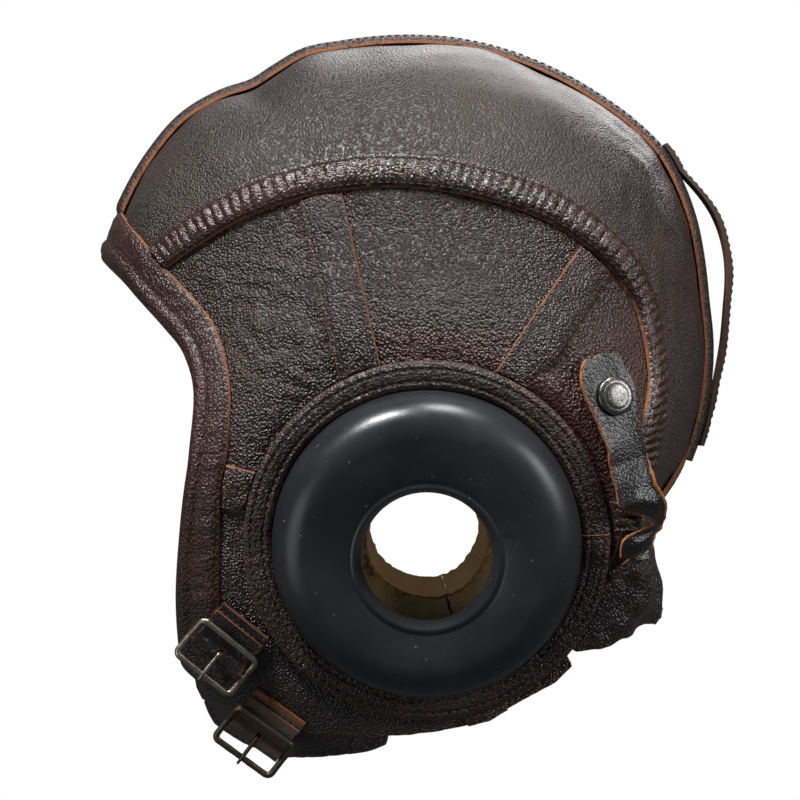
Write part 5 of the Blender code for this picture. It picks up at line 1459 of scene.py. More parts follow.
def make_side_panels(word, side):
    seam = crown_seam(side, -PANEL_GAP / 2)
    front = panel_front(side, BAND_STEP)[:, ::2]
    at_seam, at_front = crossing(seam, front)
    seam = path_part(seam, 0, at_seam)
    front = path_part(front, at_front, len(front) - 1)
    gap = math.degrees(PANEL_GAP / RING_RADIUS)
    cheek_start, cheek_end = CHEEK_EDGE_SHARES[0][0], CHEEK_EDGE_SHARES[-1][0] - gap
    cheek = ear_path(CHEEK_EDGE_SHARES, cheek_start, cheek_end, BAND_STEP)
    skirt = ear_polar(*np.array(SKIRT_EDGE_SHARES).T)
    rear = between_rays(seam, None, REAR_STRIP_ANGLES, SEAM_STEP)
    top = between_rays(seam, REAR_STRIP_ANGLES, FRONT_STRIP_ANGLES, PANEL_STEP)
    temple = joined(
        between_rays(seam, FRONT_STRIP_ANGLES, None, PANEL_STEP),
        between_rays(front, None, CHEEK_STRIP_ANGLES, PANEL_STEP),
    )
    cheek = joined(between_rays(front, CHEEK_STRIP_ANGLES, None, PANEL_STEP), cheek)
    turns = (CROWN_SEAM_SHARES[0][0], REAR_STRIP_ANGLES[0], FRONT_STRIP_ANGLES[0], CHEEK_STRIP_ANGLES[0])
    lower_end = LOWER_STRIP_ANGLES[0] + 360
    panel_sheet(f"rear_panel_{word}", sector_grid(rear, turns[0], turns[1], side), "gloss")
    panel_sheet(f"top_panel_{word}", sector_grid(top, turns[1], turns[2], side), "temple")
    panel_sheet(f"temple_panel_{word}", sector_grid(temple, turns[2], turns[3], side), "temple")
    panel_sheet(f"cheek_panel_{word}", sector_grid(cheek, turns[3], lower_end, side), "panel", "dddr")
    skirt_start, skirt_end = SKIRT_EDGE_SHARES[0][0], SKIRT_EDGE_SHARES[-1][0]
    panel_sheet(f"ear_skirt_{word}", sector_grid(skirt, skirt_start, skirt_end, side), "panel", "dddr")


# Bands and strips over the seams.
def across(columns, count):
    """More columns between the three that mark a band's edges and middle."""
    three = np.stack(columns, axis=1)
    at = np.linspace(0, 2, count)
    low = np.clip(at.astype(int), 0, 1)
    share = (at - low)[None, :, None]
    return three[:, low] * (1 - share) + three[:, low + 1] * share


def run_along(grid):
    middle = grid[:, grid.shape[1] // 2]
    return arc_lengths(middle)[:, None]


def make_seam_band(word, side):
    rear = offset_flat_face(side)
    columns = []
    for share in (-1, 0, 1):
        path = crown_seam(side, share * SEAM_BAND_WIDTH / 2)
        start = crossing(path, ray((BAND_END_ANGLE, BAND_END_ANGLE), 0))[0]
        end = crossing(path, rear)[0]
        columns.append(off_ring(path_part(path, start, end), LAYER_GAP))
    count = steps_for(columns[1], FINE_STEP * 0.75)
    columns = [side_points(resampled(path, count), side) for path in columns]
    grid = across(columns, SEAM_BAND_COLUMNS)
    share = np.linspace(-1, 1, SEAM_BAND_COLUMNS)[None, :]
    run = run_along(grid)
    puff = puckers(run + 0.0006 * share, 41 + side)
    body = np.clip(1 - np.abs((share + 0.12) / 0.86) ** 3.2, 0, 1)
    end = smooth_step(run / 0.03)
    strength = GATHER_HEIGHT * (0.95 + 0.35 * np.sin(run / 0.017))
    shape = SEAM_BAND_CROWN * (3.0 * body - 0.8) * (0.6 + 0.4 * end)
    shape = shape - strength * (1 - puff) * body * 1.5
    shape = shape - 0.00045 * hump(share, 0.80, 0.10) + 0.00015 * waves(grid, 0.012, 43)
    worn = body * puff * 0.10 + 0 * run
    lift, thickness = LEATHER + SEAM_BAND_LAY[0], BAND_LEATHER + SEAM_BAND_LAY[1]
    top = sheet(
        f"seam_band_{word}_leather", grid, lift, thickness, ("band", FLESH),
        detail=shape, worn=worn, red=body * 0.4 + 0 * run, rough=0.00018,
        nodes=(f"seam_band_{word}",), slot="band_leather", edges="ddrr", drop=0.0007,
    )
    for edge, inset, pitch in SEAM_BAND_ROWS:
        sew(top, edge, inset, pitch=pitch)


def seam_strip(name, angle, stop, side, drop, edges, worn_amount=0.0):
    lines = []
    for share in (-1, 0, 1):
        line = ray(angle, share * SEAM_STRIP_WIDTH / 2)
        end = crossing(line, stop)[0]
        line = path_part(line, 0, end)
        lines.append(np.array([ring_point(line), line[-1]]))
    count = steps_for(lines[1], FINE_STEP)
    grid = across([side_points(resampled(line, count), side) for line in lines], SEAM_STRIP_COLUMNS)
    share = np.linspace(-1, 1, SEAM_STRIP_COLUMNS)[None, :]
    run = run_along(grid)
    body = np.clip(1 - np.abs(share / 0.72) ** 4, 0, 1)
    puff = puckers(run + 0.0012 * share, len(name) + side, CROSS_GATHER_PITCH)
    shape = body * (0.00030 - 0.00020 * (1 - puff) + 0.00025 * waves(grid, 0.010, 44))
    shape = shape - 0.00022 * hump(np.abs(share), 0.78, 0.07)
    lift, thickness = LEATHER + SEAM_STRIP_LAY[0], BAND_LEATHER + SEAM_STRIP_LAY[1]
    top = sheet(
        f"{name}_leather", grid, lift, thickness, ("panel", FLESH), detail=shape,
        worn=worn_amount * body * puff + 0 * run, red=side_red(on_form(grid)) * 0.6,
        nodes=(name,), slot="band_leather", edges=edges, drop=drop,
    )
    for edge in BOTH_EDGES:
        sew(top, edge, pitch=SEAM_STRIP_PITCH)


def make_seam_strips(word, side):
    seam = crown_seam(side, -(SEAM_BAND_WIDTH / 2 + STRIP_END_GAP))
    face = offset_flat_face(side)
    cheek = ear_path(CHEEK_EDGE_SHARES, CHEEK_EDGE_SHARES[0][0], CHEEK_EDGE_SHARES[-1][0], BAND_STEP)
    skirt = ear_polar(*np.array(SKIRT_EDGE_SHARES).T)
    seam_strip(f"front_strip_{word}", FRONT_STRIP_ANGLES, seam, side, (0.0001, 0.0005), "ddrr")
    seam_strip(f"rear_strip_{word}", REAR_STRIP_ANGLES, seam, side, (0.0007, 0.0002), "dddr")
    seam_strip(f"cheek_strip_{word}", CHEEK_STRIP_ANGLES, face, side, 0.0005, "ddrr", 0.45)
    seam_strip(f"lower_strip_{word}", LOWER_STRIP_ANGLES, joined(cheek, skirt), side, 0.0005, "ddrr", 0.15)


# The face band, rolled over the panels' front edge.
def make_face_band():
    fold = FACE_FOLD + BAND_LEATHER
    leaf_under = -LAYER_GAP
    middle = (BAND_BASE + leaf_under) / 2
    inner_radius = (BAND_BASE - leaf_under) / 2
    outer_radius = inner_radius + BAND_LEATHER
    leaf = FACE_LEAF_COLUMNS
    halves, marks = [], []
    for side in (-1, 1):
        front = face_curve(0, 0, side, BAND_STEP)
        count = steps_for(front, SHEET_STEP * 0.85)
        front = resampled(front, count)
        rear = resampled(face_curve(1, 0, side, BAND_STEP), count)
        run = arc_lengths(front)[:, None]
        ease = smooth_step((run / run[-1] - FACE_END_SHARE) / (1 - FACE_END_SHARE)) * FACE_END_EASE
        front = front + (rear - front) * ease
        width = np.linalg.norm(front - rear, axis=1)[:, None]

        def spot(share):
            base = on_form(front + (rear - front) * share)
            return base, form_normal(base)

        fold_base, fold_normal = spot(fold / width)
        ahead = front - fold_base
        ahead = unit(ahead - fold_normal * np.sum(ahead * fold_normal, axis=1, keepdims=True))
        section, worn = [], []
        for k in range(leaf):
            t = k / (leaf - 1)
            base, normal = spot(1 + (fold / width - 1) * t)
            roll = FACE_ROLL * smooth_step((t - 0.66) / 0.12) * (1 - smooth_step((t - 0.90) / 0.12) * 0.6)
            groove = -0.0004 * hump(t, 0.62, 0.045) - 0.0003 * hump(t, 0.10, 0.05)
            cross = waves(base, 0.0075, 51, stretch=(2.0, 1, 0.7))[:, None] * 0.00022
            cross = cross * math.sin(math.pi * min(1, t * 1.4))
            lift = BAND_TOP + roll + groove + cross + 0.0004 * math.sin(math.pi * t)
            lift = lift - (0.0008, 0.0003, 0)[min(k, 2)]
            if k == 0:
                base = base - unit(rear - front) * SKIVE
            section.append(base + normal * lift)
            worn.append(0.75 if k == 0 else 0.25 if k == 1 else 0.05)
        for turn in np.radians(np.linspace(0, 180, FOLD_TURNS + 1)[1:]):
            swell = 1 + 0.16 * math.cos(turn / 2)
            centre = fold_base + fold_normal * middle
            section.append(
                centre + fold_normal * outer_radius * math.cos(turn) * swell + ahead * fold * math.sin(turn)
            )
            worn.append(0.10 + 0.25 * math.sin(turn))
        base, normal = spot(FACE_INNER_LEAF / width)
        section.append(base + normal * (leaf_under - BAND_LEATHER))
        section.append(base + normal * leaf_under)
        section.append(fold_base + fold_normal * leaf_under)
        section.append(fold_base + fold_normal * middle + ahead * FACE_FOLD)
        section.append(fold_base + fold_normal * BAND_BASE)
        base, normal = spot(1 + 0 * width)
        section.append(base + normal * (LEATHER + 0.0005))
        worn += [0] * 6
        halves.append(np.stack(section, axis=1))
        marks.append(np.array(worn))
        for share, pitch in FACE_STITCHES:
            at = share * (leaf - 1)
            low = int(at)
            line = halves[-1][:, low] * (1 - at + low) + halves[-1][:, low + 1] * (at - low)
            stitch(line, form_normal(on_form(line)), pitch=pitch)
        edge_line = halves[-1][:, leaf + 5]
        stitch(edge_line, ahead, pitch=FACE_EDGE_PITCH, start=0.001)
    rings = np.concatenate([halves[0][:0:-1], halves[1]])
    columns = rings.shape[1]
    faces = tube_faces(len(rings), columns, False)
    rim = columns - 1
    slots = [1 if j == rim else 2 if j >= leaf + FOLD_TURNS else 0 for j in range(columns)]
    slots = slots * (len(rings) - 1) + [1, 1]
    worn = np.tile(marks[0], len(rings))
    x, _, z = rings.reshape(-1, 3).T
    red = 0.35 + 0.4 * np.sin(x * 140 + z * 60) ** 2
    make(
        "face_band_leather", rings.reshape(-1, 3), faces, ("face", "edge", FLESH), slots,
        nodes=("face_band",), slot="band_leather", worn=worn, red=red,
    )


# Nape, elastic, flaps and linings.
def nape_relief(points):
    """Gathers drawn in by the elastic, and rolls between them and the ring."""
    angle = crown_polar(points[..., 0], points[..., 2])[0]
    waist = hump(angle, ELASTIC_ANGLE - 1, 6.5)
    skirt = smooth_step((ELASTIC_ANGLE - angle) / 8)
    aside = np.arctan2(points[..., 1], 0.03 + points[..., 0]) * HEAD_RADIUS
    wander = waves(points, 0.03, 61) * 0.9
    pleat = np.abs(np.sin(math.pi * aside / NAPE_PLEAT + wander))
    fine = np.abs(np.sin(math.pi * aside / NAPE_FINE_PLEAT + 1.7 * wander))
    flute = np.sin(2 * math.pi * aside / NAPE_FLUTE + wander)
    flat = smooth_step((ear_distance(points[..., 0], points[..., 2]) - RING_RADIUS) / 0.008)
    shape = waist * (NAPE_PLEAT_HEIGHT * pleat + NAPE_FINE_HEIGHT * fine - 0.0006)
    shape = shape + skirt * flute * NAPE_FLUTE_HEIGHT
    rolls = np.sin(2 * math.pi * (angle * 0.0017 + points[..., 2] * 0.3) / 0.009) * 0.0003
    return flat * (shape + rolls) + relief(points, 0.0002, 0.0001, 62) * flat


def make_nape_panel():
    seams = {side: nape_seam(side, PANEL_GAP) for side in (-1, 1)}
    gap_turn = math.degrees(PANEL_GAP / HEAD_RADIUS)
    peak = crown_points([NAPE_START_ANGLE - gap_turn], 0)
    tucks = {side: ring_tuck(side) for side in (-1, 1)}
    upper = joined(tucks[-1][:1], seams[-1][::-1], peak, seams[1], tucks[1][:1])
    rows = np.array(NAPE_HEM_SHARES)
    hems = {}
    for side in (-1, 1):
        points = polar_points(rows[:, 0], rows[:, 1], side)
        hems[side] = np.vstack([tucks[side][-1:], points])
    hem = joined(hems[-1], hems[1][::-1])
    columns = steps_for(upper, FINE_STEP * 1.2)
    rise = steps_for(tucks[1], FINE_STEP * 1.2)
    grid = coons(
        resampled(upper, columns), resampled(hem, columns),
        resampled(tucks[-1], rise), resampled(tucks[1], rise),
    )
    grid[:, 0] += unit(grid[:, 0] - grid[:, 1]) * NAPE_LAP
    top = sheet(
        "nape_panel_leather", grid, 0, LEATHER, ("face", FLESH), detail=nape_relief,
        nodes=("nape_panel",), slot="panel_leather", edges="dddd",
    )
    sew(top, LAST_EDGE, NAPE_INSET, trim=(8, 8))
    for side in (-1, 1):
        make_nape_welt(side)


def make_nape_welt(side):
    """The raw folded edge that shows along the seam above the nape."""
    word = "left" if side < 0 else "right"
    middle = nape_seam(side, 0)
    middle = middle[: int(len(middle) * WELT_END_SHARE)]
    count = steps_for(middle, FINE_STEP)
    low = resampled(nape_seam(side, WELT_FALL)[: len(middle)], count)
    high = resampled(nape_seam(side, -WELT_RISE)[: len(middle)], count)
    grid = ruled(high, low, WELT_COLUMNS)
    sheet(
        f"nape_welt_{word}_leather", grid, LEATHER + 0.0002, 0.0011, ("face", FLESH),
        detail=0.0003 * np.sin(np.linspace(0, math.pi, WELT_COLUMNS + 1))[None, :],
        slot="panel_leather", edges="ddrr", rough=0.0003,
    )


def make_nape_elastic():
    turn = math.degrees(ELASTIC_WIDTH / 2 / HEAD_RADIUS)
    reach = ELASTIC_REACH_SHARE * HEAD_HALF_WIDTH
    y = np.linspace(-reach, reach, ELASTIC_COLUMNS)
    upper = np.vstack([crown_points([ELASTIC_ANGLE + turn], v) for v in y])
    lower = np.vstack([crown_points([ELASTIC_ANGLE - turn], v) for v in y])
    grid = ruled(upper, lower, 8)
    ruck = 0.0003 * np.sin(2 * math.pi * y / 0.0045)[:, None]
    sheet(
        "nape_elastic_web", grid, -LAYER_GAP - ELASTIC_THICKNESS, ELASTIC_THICKNESS * 0.8,
        ("elastic", "elastic"), detail=ruck, nodes=("nape_elastic",), slot="elastic", edges="dddd",
    )


def make_chin_flap(word, side):
    start, end = FLAP_EDGE_SHARES[0][0], FLAP_EDGE_SHARES[-1][0]
    outer = ear_path(FLAP_EDGE_SHARES, start, end, PANEL_STEP)
    count = steps_for(outer, SHEET_STEP)
    outer = resampled(outer, count)
    inner = ear_polar(np.linspace(start, end, count + 1), np.full(count + 1, FLAP_ROOT_SHARE))
    grid = side_points(ruled(inner, outer, FLAP_COLUMNS), side)
    top = sheet(
        f"chin_flap_{word}_leather", grid, -FLAP_GAP - LEATHER, LEATHER, ("face", FLESH),
        detail=lambda p: relief(p, 0.0004, 0.00015, 66), nodes=(f"chin_flap_{word}",), slot="panel_leather",
    )
    sew(top, LAST_EDGE, FLAP_INSET)


def make_lining(word, side):
    brow = panel_brow_angle() - math.degrees(FACE_INNER_LEAF / HEAD_RADIUS)
    angles = np.linspace(brow, NAPE_START_ANGLE, PATH_SAMPLES)
    crown = crown_points(angles, side * SEAM_GAP)
    rows = steps_for(crown, 2 * SHEET_STEP)
    front = face_curve(1, 0, side, BAND_STEP)
    below = CHEEK_STRIP_ANGLES[0] + LINING_SPLIT_TURN
    stop_angle = FLAP_EDGE_SHARES[0][0] - FLAP_LINING_TURN
    split = crossing(front[:, ::2], ray(CHEEK_STRIP_ANGLES, 0))[0]
    start = crossing(front[:, ::2], ray((below, below), 0))[0]
    stop = crossing(front[:, ::2], ray((stop_angle, stop_angle), 0))[0]
    upper_front = path_part(front, 0, split)
    lower_front = path_part(front, start, stop)
    upper_front[0] = crown[0]
    cheek_turn = CHEEK_STRIP_ANGLES[0]
    hole = side_points(ear_arc(EAR_HOLE_RADIUS + CUP_WALL, cheek_turn, LINING_END_ANGLE, rows), side)
    nape = nape_seam(side, -SEAM_BAND_WIDTH / 2)
    corner = crossing(nape[:, ::2], ray((LINING_END_ANGLE, LINING_END_ANGLE), 0))[0]
    nape = np.vstack([path_part(nape, 0, corner), hole[-1:]])
    nape[0] = crown[-1]
    front_edge = np.vstack([upper_front, hole[:1]])
    columns = steps_for(front_edge, 2 * SHEET_STEP)
    grid = coons(resampled(crown, rows), hole, resampled(front_edge, columns), resampled(nape, columns))
    lift = -LINING_GAP - CHAMOIS
    options = {"slot": "chamois", "edges": "dddd", "rough": 0.0004}
    sheet(
        f"crown_lining_{word}_chamois", grid, lift, CHAMOIS, ("chamois", "chamois"),
        detail=lambda p: waves(p, 0.02, 71) * 0.00015, nodes=(f"crown_lining_{word}",), **options,
    )
    end = LOWER_STRIP_ANGLES[0] + 360
    turns = np.linspace(CHEEK_EDGE_SHARES[0][0], end, CHEEK_LINING_STEPS)
    cheek = ear_polar(turns, np.full(len(turns), CHEEK_LINING_SHARE))
    outline = joined(lower_front[:, ::2], cheek)
    count = steps_for(outline, 2 * SHEET_STEP)
    lower = ear_arc(EAR_HOLE_RADIUS + CUP_WALL, below, end, count)
    grid = side_points(ruled(lower, resampled(outline, count), LINING_COLUMNS), side)
    sheet(
        f"cheek_lining_{word}_chamois", grid, lift, CHAMOIS, ("chamois", "chamois"),
        nodes=(f"cheek_lining_{word}",), **options,
    )
    make_ear_lining(word, side, options)


def make_ear_lining(word, side, options):
    """The lining under the cup, with a torn edge round the hole for the ear."""
    outer = EAR_HOLE_RADIUS + CUP_WALL / 2
    start = LOWER_STRIP_ANGLES[0]
    end = start + 360 - LINING_SLIT_TURN
    turns = np.radians(np.linspace(start, end, EAR_LINING_TURNS + 1))
    spots = np.stack([np.cos(turns), np.sin(turns), 0 * turns], axis=1) * EAR_LINING_RADIUS
    torn = EAR_LINING_RADIUS + waves(spots, 0.021, 73) * 0.00035 + waves(spots, 0.0030, 74) * 0.00022
    arcs = []
    shares = np.linspace(0, 1, EAR_LINING_COLUMNS)
    for share in shares:
        radius = torn + (outer - torn) * share
        arcs.append(np.stack([radius * np.cos(turns), radius * math.cos(EAR_LEAN) * np.sin(turns)], axis=1))
    grid = side_points(np.stack(arcs, axis=1), side)
    curl = 0.0010 * np.exp(-shares / 0.10)[None, :] * (1 + waves(grid, 0.012, 75)) * 0.6
    sheet(
        f"ear_lining_{word}_chamois", grid, -SEAM_GAP - CHAMOIS, CHAMOIS * 0.9, ("chamois", "chamois"),
        detail=curl, nodes=(f"ear_lining_{word}",), **{**options, "edges": "ddbd"},
    )


# Turned pieces.
def turned(turns, profile):
    """Points of a profile of (radius, height) at each turn, in the frame of its axis."""
    radius, height = np.array(profile).T
    return np.stack([np.cos(turns) * radius, np.sin(turns) * radius, 0 * turns + height], axis=-1)


def placed(spots, extra, frame):
    """Those points brought into the scene, with extra height."""
    centre, across, up, axis = frame
    rise = (spots[..., 2] + extra)[..., None] * axis
    return centre + spots[..., :1] * across + spots[..., 1:2] * up + rise


def lathe(name, profile, frame, looks, detail=None, sides=LATHE_SIDES, drop=None, **options):
    """A ring turned from a closed profile of (radius, height); detail adds height."""
    spots = turned(np.linspace(0, 2 * math.pi, sides, endpoint=False)[:, None], profile)
    extra = np.zeros(spots.shape[:-1]) if detail is None else detail(spots)
    points = placed(spots, extra, frame)
    if drop is not None:
        points = points + np.array([drop(radius) for radius, _ in profile])[None, :, None] * frame[2]
    faces = tube_faces(sides, len(profile), True)
    return make(name, points.reshape(-1, 3), faces, looks, **options)


def dome(name, profile, frame, looks, detail=None, sides=DOME_SIDES, **options):
    """A solid turned from a profile that starts and ends on the axis."""
    centre, across, up, axis = frame
    turns = np.linspace(0, 2 * math.pi, sides, endpoint=False)
    inner = np.array(profile[1:-1])
    spots = [centre + axis * profile[0][1], centre + axis * profile[-1][1]]
    for turn in turns:
        spoke = across * math.cos(turn) + up * math.sin(turn)
        for radius, height in inner:
            extra = 0 if detail is None else detail(turn, radius)
            spots.append(centre + spoke * radius + axis * (height + extra))
    count = len(inner)
    faces = []
    for i in range(sides):
        a = 2 + i * count
        b = 2 + (i + 1) % sides * count
        faces += [[0, a, b], [1, b + count - 1, a + count - 1]]
        faces += [[a + j, a + j + 1, b + j + 1, b + j] for j in range(count - 1)]
    return make(name, spots, faces, looks, **options)


def make_ear_ring(word, side):
    """The leather ring: one strip sewn down in two rows, its end lapped over its start."""
    frame = ear_frame(side)
    inner = CUP_RADIUS + SEAM_GAP
    over = BAND_BASE + CUP_FLANGE_THICKNESS + SEAM_GAP
    top = BAND_BASE + RING_HEIGHT
    flange = CUP_RADIUS + CUP_FLANGE + SEAM_GAP
    share = np.linspace(0, 1, RING_COLUMNS)
    face = inner + 0.0007 + share * (RING_WIDTH - 0.0016)
    face = np.stack([face, np.full(RING_COLUMNS, top)], axis=1)
    puff = RING_PUFF * (1 - np.abs(2 * share - 1) ** 6)
    for groove in RING_GROOVES:
        puff = puff - RING_GROOVE_DEPTH * hump(share, groove, 0.060)
    face[:, 1] += puff - 0.0002
    edge = arc((RING_RADIUS - RING_ROUND, top - RING_ROUND - 0.0002), RING_ROUND, 70, -20, 7)
    profile = [(inner, over), (inner, top - 0.0011), (inner + 0.0002, top - 0.0005)]
    profile += [*face, *edge]
    profile += [(RING_RADIUS - 0.0001, BAND_BASE), (flange, BAND_BASE), (flange, over)]
    height = np.array(profile)[:, 1]
    lap = math.degrees(RING_LAP / RING_RADIUS)
    turns = np.linspace(RING_LAP_ANGLE, RING_LAP_ANGLE + 360 + lap, RING_TURNS)
    angles = np.radians(turns)[:, None]
    spots = turned(angles, profile)
    near_end = smooth_step((turns - (RING_LAP_ANGLE + 360 - 4)) / 6)[:, None]
    on_top = (height > over + 0.0005)[None, :]
    run = angles * RING_RADIUS
    crimp = np.sin(run * 2 * math.pi / RING_CRIMP + waves(spots, 0.02, 81) * 1.5)
    extra = waves(spots, 0.018, 82) * 0.00018 + crimp * 0.00009
    extra = extra * on_top + near_end * RING_LAP_RISE * on_top
    points = placed(spots, extra, frame)
    last = len(profile)
    faces = tube_faces(RING_TURNS, last, False)
    slots = [1 if j in (0, last - 4) else 0 for j in range(last)] * (RING_TURNS - 1) + [0, 2]
    place = np.arange(last)
    worn = np.tile(0.10 + 0.5 * hump(place, 2, 1.2) + 0.5 * hump(place, 30, 2.5), RING_TURNS)
    make(
        f"ear_ring_{word}_leather", points.reshape(-1, 3), faces, ("ring", "dark_edge", "edge"), slots,
        slot="band_leather", nodes=(f"ear_ring_{word}",), worn=worn,
    )
    for groove in RING_GROOVES:
        column = 3 + int(round(groove * (RING_COLUMNS - 1)))
        line = points[:, column]
        stitch(line, np.broadcast_to(frame[3], line.shape), colour="pale_thread", pitch=RING_STITCH_PITCH)


def make_ear_cup(word, side):
    """The moulded cup: a round shoulder, a face that falls to the lip, and a beaded rim."""
    frame = ear_frame(side)
    base = BAND_BASE
    flange = CUP_RADIUS + CUP_FLANGE
    flange_top = base + CUP_FLANGE_THICKNESS
    top = base + CUP_HEIGHT
    land_top = top - CUP_INNER_FALL
    land = LIP_RADIUS + LIP_LAND
    lip_bottom = land_top - LIP_DEPTH
    shoulder = arc((CUP_RADIUS - CUP_SHOULDER, top - CUP_SHOULDER), CUP_SHOULDER, 0, 90, CUP_SHOULDER_STEPS)
    fall = []
    for share in np.linspace(0, 1, CUP_FACE_STEPS)[1:]:
        radius = CUP_RADIUS - CUP_SHOULDER + (land - CUP_RADIUS + CUP_SHOULDER) * share
        fall.append((radius, top - CUP_INNER_FALL * (0.35 * share + 0.65 * share**2)))
    bead = [
        (land - 0.0004, land_top - 0.00020), (land - 0.0008, land_top - 0.00012),
        (land - 0.0013, land_top + 0.00020), (land - 0.0018, land_top + 0.00030),
        (land - 0.0023, land_top + 0.00015), (land - 0.0026, land_top - 0.00040),
        (land - 0.0029, land_top - 0.00110), (LIP_RADIUS, land_top - 0.0022),
        (LIP_RADIUS - 0.0004, land_top - 0.0036), (LIP_RADIUS - 0.0007, lip_bottom + 0.0004),
        (LIP_RADIUS - 0.0005, lip_bottom),
    ]
    inside = arc((CUP_RADIUS - CUP_SHOULDER, top - CUP_SHOULDER), CUP_SHOULDER - CUP_WALL, 90, 0, 8)
    profile = [(flange, base), (flange, flange_top - 0.0003), (flange - 0.0003, flange_top)]
    profile += [(CUP_RADIUS + 0.0009, flange_top), (CUP_RADIUS + 0.0003, flange_top + 0.0004)]
    profile += [(CUP_RADIUS, flange_top + 0.0011)]
    profile += [*shoulder, *fall, *bead, (land, lip_bottom), (land, land_top - CUP_WALL)]
    profile += [*inside, (CUP_RADIUS - CUP_WALL, base)]

    def moulding(spots):
        shape = waves(spots, 0.045, 91 + side) * 0.00022 + waves(spots, 0.012, 92) * 0.00003
        for turn, at, size, depth in CUP_NICKS:
            turn = math.radians(turn)
            apart = np.hypot(spots[..., 0] - at * math.cos(turn), spots[..., 1] - at * math.sin(turn))
            shape = shape - depth * np.exp(-((apart / size) ** 2))
        return shape * (spots[..., 2] > flange_top + 0.002)

    lathe(
        f"ear_cup_{word}_rubber", profile, frame, ("rubber",), moulding, drop=cup_drop,
        nodes=(f"ear_cup_{word}",), slot="rubber",
    )


# Goggle tabs and snaps.
def make_goggle_tab(word, side):
    """The tab from its sewn foot to its round tip, flat where the snap grips it."""
    flat, at = tab_middle_path()
    middle = side_points(flat, side)
    lengths = arc_lengths(middle)
    snap_at = float(np.interp(1, at, lengths))
    along = unit(np.gradient(middle, axis=0))
    aside = unit(np.cross(along, form_normal(middle)))
    share = lengths / snap_at
    half = np.interp(share, [0, 0.25, 0.60], [TAB_FOOT_WIDTH * 0.36, TAB_FOOT_WIDTH * 0.5, TAB_WIDTH / 2])
    columns = np.linspace(-1, 1, TAB_COLUMNS)
    spine_column = TAB_COLUMNS // 2
    outer = np.sign(np.sum(aside * middle * (1, 0, 1), axis=1))[:, None] * columns > 0
    waist = 1 - TAB_WAIST * np.sin(math.pi * np.clip(share, 0, 1)) ** 0.7
    reach_out = np.where(outer, (half * waist)[:, None], half[:, None])
    grid = middle[:, None] + aside[:, None] * (reach_out * columns)[..., None]
    base = on_form(grid)
    normal = form_normal(base)
    foot_lift = BAND_TOP + SEAM_BAND_CROWN + SEAM_GAP
    bulge = TAB_BULGE * np.sin(math.pi * np.clip(share / TAB_BULGE_END_SHARE, 0, 1)) ** 2
    lift = foot_lift + (tab_lift() - foot_lift) * smooth_step(share / TAB_BULGE_END_SHARE) + bulge
    centre, _, _, axis = snap_frame(side)
    reach = TAB_FLAT_END_SHARE - TAB_FLAT_START_SHARE
    flat_share = smooth_step((share - TAB_FLAT_START_SHARE) / reach)[:, None, None]
    knots = np.arange(len(lengths))
    fine = np.linspace(0, knots[-1], TAB_ROWS)
    sheets = []
    for height in (TAB_LEATHER, 0):
        points = base + normal * (lift[:, None] + height)[..., None]
        plane = centre + axis * (tab_lift() + height)
        above = np.sum((points - plane) * axis, axis=-1, keepdims=True)
        points = points - axis * above * flat_share
        flat_points = points.reshape(len(points), -1)
        smooth = np.stack([smooth_curve(c, knots, fine) for c in flat_points.T], axis=1)
        sheets.append(smooth.reshape(TAB_ROWS, TAB_COLUMNS, 3))
    top, below = sheets
    run = np.interp(fine, knots, lengths)
    share = run / snap_at
    tip = np.clip((run[-1] - run) / (TAB_WIDTH / 2), 0, 1)
    taper = np.sqrt(np.clip(1 - (1 - tip) ** 2, 0.04, 1))
    spine = top[:, spine_column]
    torn = 1 + waves(spine, 0.010, 101 + side) * 0.03 + waves(spine, 0.0035, 102) * 0.012
    for part in sheets:
        spine = part[:, spine_column:spine_column + 1].copy()
        part[:] = spine + (part - spine) * (taper * torn)[:, None, None]
    outward = unit(top - below)
    creases = sum(TAB_CREASE_DEPTH * hump(share, spot, 0.022) for spot in TAB_CREASES)[:, None]
    curl = TAB_CURL * np.abs(columns[None, :]) ** 3 * np.sin(math.pi * np.clip(share, 0, 1))[:, None]
    keep = smooth_step(np.linalg.norm(top - centre, axis=-1) / (0.6 * SNAP_CAP_RADIUS) - 1.9)
    top += outward * ((curl - creases + waves(top, 0.009, 103) * 0.00015) * keep)[..., None]
    below += outward * (curl * keep)[..., None]
    rubbed = 0.5 * (np.abs(columns[None, :]) > 0.85) + 1.1 * hump(share, 1.34, 0.018)[:, None]
    rubbed = rubbed + 0.5 * hump(share, 0.34, 0.02)[:, None] * (0.5 + 0.5 * waves(top, 0.004, 104))
    closed_sheet(
        f"goggle_tab_{word}_leather", top, below, ("strap", FLESH), "drbb",
        worn=np.clip(rubbed, 0, 1), body=f"goggle_tab_{word}", nodes=(f"goggle_tab_{word}",),
        slot="strap_leather",
    )
    last = int(TAB_ROWS * TAB_FOLD_SHARE)
    edge = -1 if outer[3, -1] else 0
    spine = (top[:last, edge] + below[:last, edge]) / 2
    make_tab_fold(word, spine, top[:last, edge] - top[:last, spine_column])


